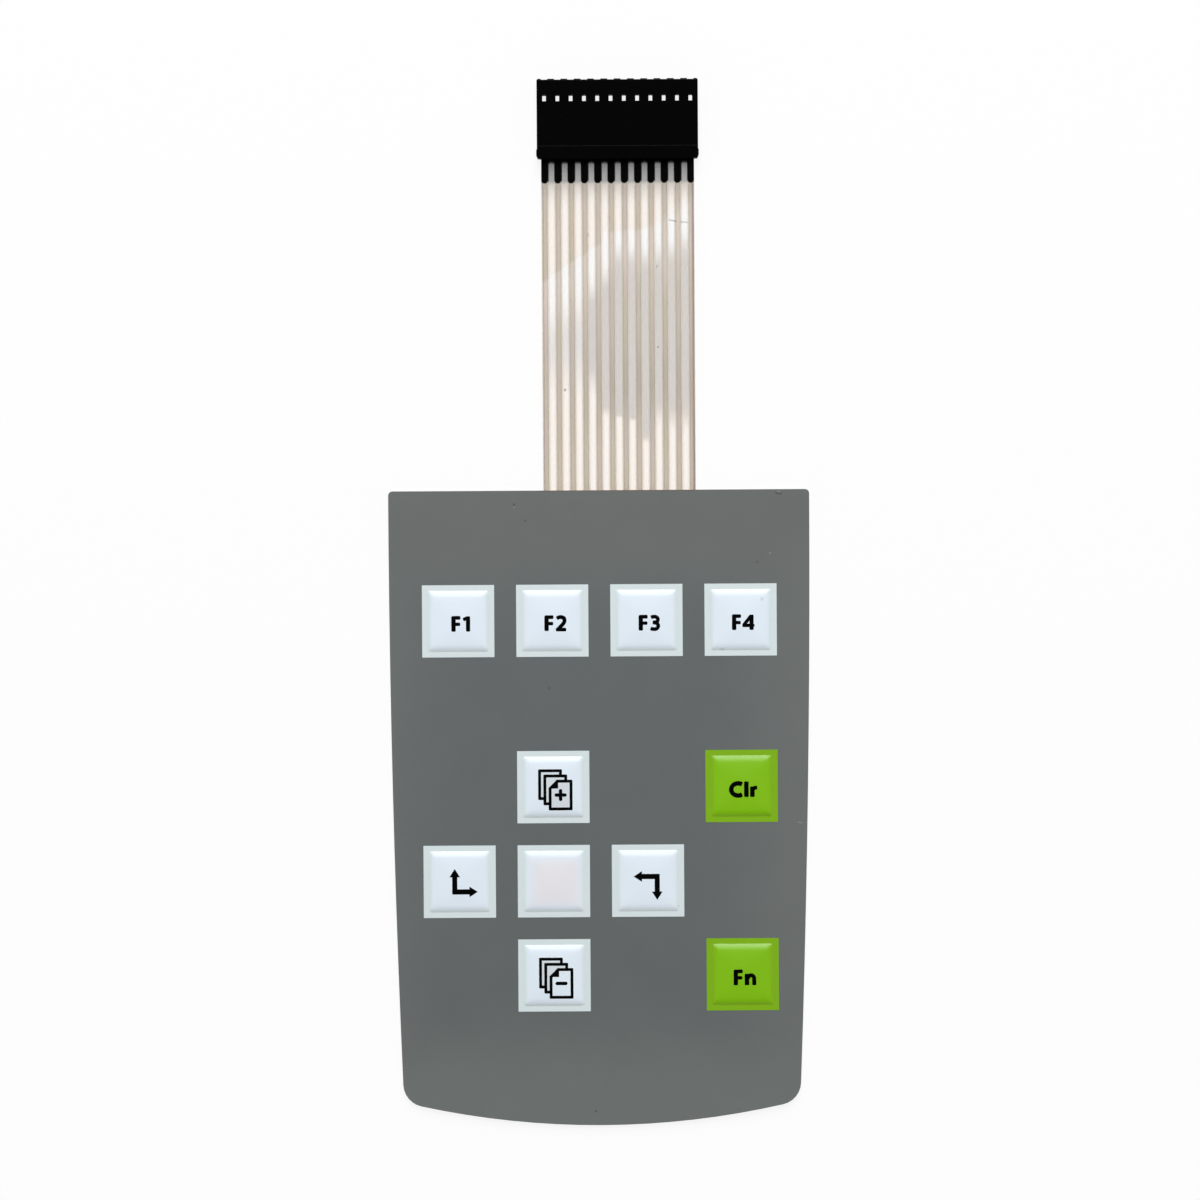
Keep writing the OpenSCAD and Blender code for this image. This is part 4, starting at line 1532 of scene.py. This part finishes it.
@dataclass
class Tail:
    """Clear film with twelve printed lines under a cover film, hazy where the two films cling together."""

    first_x: float
    pitch: float
    half_line: float
    socket_y: float
    bare_y: float
    half_film: float
    clings: tuple[Cling, ...] = (
        Cling(4, 99.0, 82.0, 4.0), Cling(5, 101.9, 75.6, 1.6), Cling(6, 106.3, 74.7, 0.6),
        Cling(7, 106.0, 74.2, 0.6), Cling(8, 105.4, 70.3, 1.2), Cling(9, 106.2, 75.0, 3.8),
        Cling(10, 107.0, 74.0, 3.8), Cling(11, 108.3, 74.0, 4.2))
    faint: Area = Area(-4.0, 89.3, 7.5, 7.0, 7.5, side_soft=6.0)
    # Painted highlights along three soft folds of the cover film: whiter film and lighter lines.
    fold_highlights: tuple[Area, ...] = (
        Area(-4.8, 100.3, 6.2, 4.0, 6.0, slope=0.65, top_soft=0.3, side_soft=0.5, waver=0.3, waver_size=2.0),
        Area(6.2, 106.4, 5.0, 4.0, 5.0, slope=0.1, top_soft=0.3, side_soft=1.5, waver=0.3, waver_size=2.0),
        Area(14.4, 107.8, 3.6, 5.8, 6.0, slope=0.7, top_soft=2.2, side_soft=1.5, waver=0.3, waver_size=2.0))
    dirt: tuple[Line, ...] = (
        speck(-6.3, 79.9, 0.2), speck(11.5, 88.0), speck(-1.67, 109.5, 0.12), speck(11.4, 103.4, 0.14),
        Line((13.8, 112.3), (15.1, 112.0), 0.1, 0.09), Line((16.0, 111.9), (17.3, 111.8), 0.08, 0.08))
    dull: Area = Area(9.0, 81.0, 10.0, 4.5, 8.0, top_soft=9.0, side_soft=8.0)
    bleeds: tuple[Bleed, ...] = (Bleed(0.66, 0.84, 4.25, 0.3), Bleed(0.8, 1.15, 0.7, 0.6))
    beyond_sides: float = 60.0
    beyond_ends: float = 300.0
    print_off: float = 0.06
    line_fade: Point = (0.45, 0.03)
    # Painted shade beside each line, the line's shadow seen through the clear film: full to the first
    # distance from its middle, gone at the second.
    line_shadow_band: Point = (0.26, 1.14)
    cling_soft: float = 4.2
    cling_side: float = 0.35
    cling_waver: float = 0.45
    cling_waver_size: float = 1.6
    # Painted shade of the socket's housing on the film: reaches and fades of its wide band, its band over
    # the bare contact ends, its deep band and its black band at the edge.
    end_shade: float = 1.0
    end_fade: float = 5.2
    bare_fade: float = 0.6
    bare_fade_inside: float = 0.2
    deep_shade: float = 2.2
    lip_shade: float = 0.71
    lip_fade: float = 0.48
    # Painted shade of the socket's housing on the lines: its reach and fade.
    socket_shade_reach: float = 6.4
    socket_shade_fade: float = 2.5
    left_edge: float = 0.3
    right_edge: float = 0.5
    edge_fade: float = 0.25
    ink_lift: float = 0.004
    cover_lift: float = 0.008

    @classmethod
    def from_frame(cls) -> "Tail":
        """Reads the places of the lines, the coating and the socket from the frame.

        Returns:
            The tail.
        """
        first, second = (sum(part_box(f"terminal_{n}"), Vector()).x / 2 / MM for n in (1, 2))
        coating_low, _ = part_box("carbon_contacts")
        housing_low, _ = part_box("connector_housing")
        cover_low, cover_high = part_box("tail_cover")
        return cls(
            first_x=first,
            pitch=second - first,
            half_line=first - coating_low.x / MM,
            socket_y=housing_low.y / MM,
            bare_y=coating_low.y / MM,
            half_film=(cover_high.x - cover_low.x) / 2 / MM)

    def dress(self) -> None:
        """Gives the films, the lines and the black contact ends their finishes."""
        dress("lower_circuit", self._film())
        dress("tail_cover", self._cover())
        dress("silver_traces", self._lines())
        dress("carbon_contacts", CARBON_INK)
        lift("silver_traces", self.ink_lift)
        lift("tail_cover", self.cover_lift)

    def _middle(self) -> float:
        """Gives X of the tail's middle."""
        return self.first_x + self.half_film - self.half_line

    def _near_socket(self, reach: float, soft: float) -> Area:
        """Gives the area across the tail up to a distance from the socket."""
        return Area(self._middle(), self.socket_y, self.beyond_sides, reach, soft)

    def _strips(self) -> tuple[Area, ...]:
        """Gives the strips where the two films cling together.

        Returns:
            One soft area for each strip.
        """
        return tuple(
            Area(self.first_x + (c.gap - 0.5) * self.pitch, (c.top + c.bottom) / 2, self.pitch / 2,
                 (c.top - c.bottom) / 2, c.soft, top_soft=self.cling_soft, side_soft=self.cling_side,
                 waver=self.cling_waver, waver_size=self.cling_waver_size)
            for c in self.clings)

    def _film(self) -> FilmFinish:
        """Makes the finish of the film that carries the lines.

        Returns:
            The finish, with painted shade beside the lines and near the socket.
        """
        bare = self.socket_y - self.bare_y
        wide = self._near_socket(bare + self.end_shade, self.end_fade)
        bare_ends = self._near_socket(bare - self.bare_fade_inside, self.bare_fade)
        deep = self._near_socket(self.deep_shade, self.deep_shade)
        lip_shadow = self._near_socket(self.lip_shade, self.lip_fade)
        printed_x = self.first_x + self.print_off
        along = LineRow(printed_x, self.pitch, *self.line_shadow_band)
        black = tuple(
            Overlap(LineRow(printed_x, self.pitch, b.near, b.far), self._near_socket(b.reach, b.soft))
            for b in self.bleeds)
        return FilmFinish(
            "tail film", seen(255, 215, 160), 0.22, patch=6.0, tone_spread=0.03, grain=0.3,
            clear_cover=0.08,
            layers=(FilmLayer((self.faint,), seen(196, 186, 178), 0.2),
                    # Painted highlight along the folds.
                    FilmLayer(self.fold_highlights, seen(255, 252, 246), 0.05),
                    FilmLayer(self._strips(), seen(173, 156, 138), 0.28),
                    # Painted shade beside each line.
                    FilmLayer((along,), seen(239, 227, 216), 0.6),
                    # Painted shade from the socket's housing, darker towards it.
                    FilmLayer((wide,), seen(128, 132, 133), 0.44),
                    FilmLayer((bare_ends,), seen(161, 160, 157), 0.58),
                    FilmLayer((deep,), seen(121, 124, 125), 0.6),
                    FilmLayer(black, seen(4, 4, 4), 0.9),
                    # Painted shade: a black band along the housing's edge.
                    FilmLayer((lip_shadow,), seen(4, 4, 4), 0.98)))

    def _cover(self) -> FilmFinish:
        """Makes the finish of the cover film with its dirt."""
        return FilmFinish(
            "cover film", seen(248, 246, 242), 0.18, patch=5.0, tone_spread=0.03, grain=0.3,
            clear_cover=0.03,
            layers=(FilmLayer(self.dirt, seen(96, 92, 86), 0.4),))

    def _lines(self) -> ConductorFinish:
        """Makes the finish of the printed lines.

        Returns:
            The finish, dark along the tail's edges, duller half-way, and darker near the socket with painted
            shade from its housing.
        """
        left, right = (
            Area(self._middle() + side * self.half_film, 0.0, width, self.beyond_ends, self.edge_fade)
            for side, width in ((-1, self.left_edge), (1, self.right_edge)))
        socket_shade = self._near_socket(self.socket_shade_reach, self.socket_shade_fade)
        near, far = (self.half_line - inside for inside in self.line_fade)
        return ConductorFinish(
            "silver ink", seen(210, 196, 184), 0.4, patch=9.0, tone_spread=0.04, grain=0.08,
            lines=LineRow(self.first_x + self.print_off, self.pitch, near, far),
            other_tint=seen(206, 196, 176), patches=(
                # Painted highlight along the folds.
                Patch(self.fold_highlights, seen(227, 214, 202), 0.9),
                Patch((self.dull,), seen(189, 177, 163), 0.9),
                # Painted shade from the socket's housing.
                Patch((socket_shade,), seen(170, 158, 147), 0.5),
                Patch((left,), seen(170, 148, 136), 0.9),
                Patch((right,), seen(156, 134, 122), 0.9)))


@dataclass(frozen=True)
class Socket:
    """Black moulded housing and its twelve sheet-metal contacts."""

    ways: int = 12
    flat_angle_deg: float = 1.0
    edge_round: float = 0.04
    edge_steps: int = 2
    edge_angle_deg: float = 30.0

    def dress(self) -> None:
        """Gives the housing and the contacts their finishes, and softens the housing's moulded edges."""
        dress("connector_housing", BLACK_NYLON)
        for way in range(1, self.ways + 1):
            dress(f"terminal_{way}", TIN_PLATE)
        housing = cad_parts["connector_housing"]
        welded = housing.modifiers.new("joined faces", "WELD")
        welded.merge_threshold = HAIR
        flat = housing.modifiers.new("flat faces", "DECIMATE")
        flat.decimate_type = "DISSOLVE"
        flat.angle_limit = math.radians(self.flat_angle_deg)
        rounded = housing.modifiers.new("moulded edges", "BEVEL")
        rounded.width = self.edge_round * MM
        rounded.segments = self.edge_steps
        rounded.limit_method = "ANGLE"
        rounded.angle_limit = math.radians(self.edge_angle_deg)


@dataclass(frozen=True)
class Studio:
    """Camera straight above, a white floor, a long soft lamp beyond the socket and even light all round."""

    view_middle: Point = (0.14, 39.7)
    view_width: float = 229.4
    view_level: float = 1.05
    lens: float = 250.0
    sensor: float = 36.0
    roll_deg: float = -0.35
    floor_half: float = 4000.0
    floor_drop: float = 0.01
    floor_tone: Rgb = (0.92, 0.92, 0.92)
    floor_roughness: float = 0.9
    white_share: float = 0.88
    ambient: float = 0.7
    lamp_distance: float = 2500.0
    lamp_height_deg: float = 52.0
    lamp_length: float = 3900.0
    lamp_width: float = 900.0
    lamp_power: float = 100.0
    card_half: Point = (1800.0, 1300.0)
    card_back: float = 600.0
    card_over: float = 120.0

    def build(self) -> None:
        """Makes the camera, the floor and the light."""
        self._camera()
        self._floor()
        self._dark_card()
        self._lamp()
        self._world()
        bpy.context.scene.view_settings.view_transform = "Standard"

    def _camera(self) -> None:
        """Sets the camera over the keypad."""
        data = bpy.data.cameras.new("camera")
        data.lens = self.lens
        data.sensor_width = self.sensor
        camera = bpy.data.objects.new("camera", data)
        camera.location = Vector((*self.view_middle, self._camera_level())) * MM
        camera.rotation_euler = (0.0, 0.0, math.radians(self.roll_deg))
        data.clip_end = 2 * self._camera_level() * MM
        bpy.context.scene.collection.objects.link(camera)
        bpy.context.scene.camera = camera

    def _floor(self) -> None:
        """Lays a white floor that keeps a soft shadow."""
        floor = self._level_sheet("floor", (self.floor_half, self.floor_half), 0.0, -self.floor_drop)
        material = bpy.data.materials.new("floor white")
        material.use_nodes = True
        graph = Graph(material.node_tree)
        shader = material.node_tree.nodes["Principled BSDF"]
        shader.inputs["Base Color"].default_value = (*self.floor_tone, 1.0)
        shader.inputs["Roughness"].default_value = self.floor_roughness
        shader.inputs["Specular IOR Level"].default_value = 0.0
        glow = graph.add("ShaderNodeEmission", {"Color": (*WHITE, 1.0), "Strength": 1.0})
        share = graph.math("MULTIPLY", self._shown(graph), self.white_share)
        mixed = graph.add("ShaderNodeMixShader", {0: share, 1: shader.outputs[0], 2: glow.outputs[0]})
        graph.feed(material.node_tree.nodes["Material Output"].inputs["Surface"], mixed.outputs[0])
        floor.data.materials.append(material)

    def _dark_card(self) -> None:
        """Hangs a black card above the camera, so that level surfaces reflect no light upwards."""
        level = self._camera_level() + self.card_over
        card = self._level_sheet("dark card", self.card_half, -self.card_back, level)
        material = bpy.data.materials.new("card black")
        material.use_nodes = True
        shader = material.node_tree.nodes["Principled BSDF"]
        shader.inputs["Base Color"].default_value = (*BLACK, 1.0)
        shader.inputs["Specular IOR Level"].default_value = 0.0
        card.data.materials.append(material)

    def _level_sheet(self, name: str, half: Point, shift: float, level: float) -> bpy.types.Object:
        """Adds a level rectangle of the stage near the view's middle.

        Args:
            name: Its name.
            half: Half its size along X and along Y.
            shift: How far it is moved along Y.
            level: Its height.

        Returns:
            The rectangle.
        """
        x, y = self.view_middle
        corners = [(x + a * half[0], y + shift + b * half[1], level)
                   for a, b in ((-1, -1), (1, -1), (1, 1), (-1, 1))]
        mesh = bpy.data.meshes.new(name)
        mesh.from_pydata([Vector(corner) * MM for corner in corners], [], [(0, 1, 2, 3)])
        sheet = bpy.data.objects.new(name, mesh)
        bpy.context.scene.collection.objects.link(sheet)
        return sheet

    def _camera_level(self) -> float:
        """Gives the height at which the lens takes in the view's width."""
        return self.view_level + self.view_width * self.lens / self.sensor

    def _shown(self, graph: Graph) -> bpy.types.NodeSocket:
        """Tells which rays show the background to the camera, directly or through gloss and film.

        Args:
            graph: The graph of the floor or the room.

        Returns:
            A socket that is 1 for those rays.
        """
        rays = graph.add("ShaderNodeLightPath").outputs
        direct = graph.math("MAXIMUM", rays["Is Camera Ray"], rays["Is Glossy Ray"])
        return graph.math("MAXIMUM", direct, rays["Is Transmission Ray"])

    def _lamp(self) -> None:
        """Hangs the long soft lamp beyond the socket's end."""
        data = bpy.data.lights.new("long lamp", "AREA")
        data.shape = "RECTANGLE"
        data.size = self.lamp_length * MM
        data.size_y = self.lamp_width * MM
        data.energy = self.lamp_power
        lamp = bpy.data.objects.new("long lamp", data)
        height = math.radians(self.lamp_height_deg)
        target = Vector((*self.view_middle, 0.0)) * MM
        back = Vector((0.0, math.cos(height), math.sin(height)))
        lamp.location = target + back * self.lamp_distance * MM
        lamp.rotation_euler = back.to_track_quat("Z", "X").to_euler()
        bpy.context.scene.collection.objects.link(lamp)

    def _world(self) -> None:
        """Fills the room with even light, and shows it as white."""
        world = bpy.data.worlds.new("room")
        world.use_nodes = True
        graph = Graph(world.node_tree)
        light = world.node_tree.nodes["Background"]
        light.inputs["Color"].default_value = (*WHITE, 1.0)
        strength = graph.ramp(self._shown(graph), 0.0, 1.0, self.ambient, 1.0)
        graph.feed(light.inputs["Strength"], strength)
        bpy.context.scene.world = world


def main() -> None:
    """Builds the studio and dresses the keypad, from the overlay down to the socket."""
    logging.basicConfig(level=logging.INFO, format="%(message)s")
    Studio().build()
    Overlay.from_frame().build()
    Laminate().dress()
    Tail.from_frame().dress()
    Socket().dress()


if __name__ == "__main__":
    main()
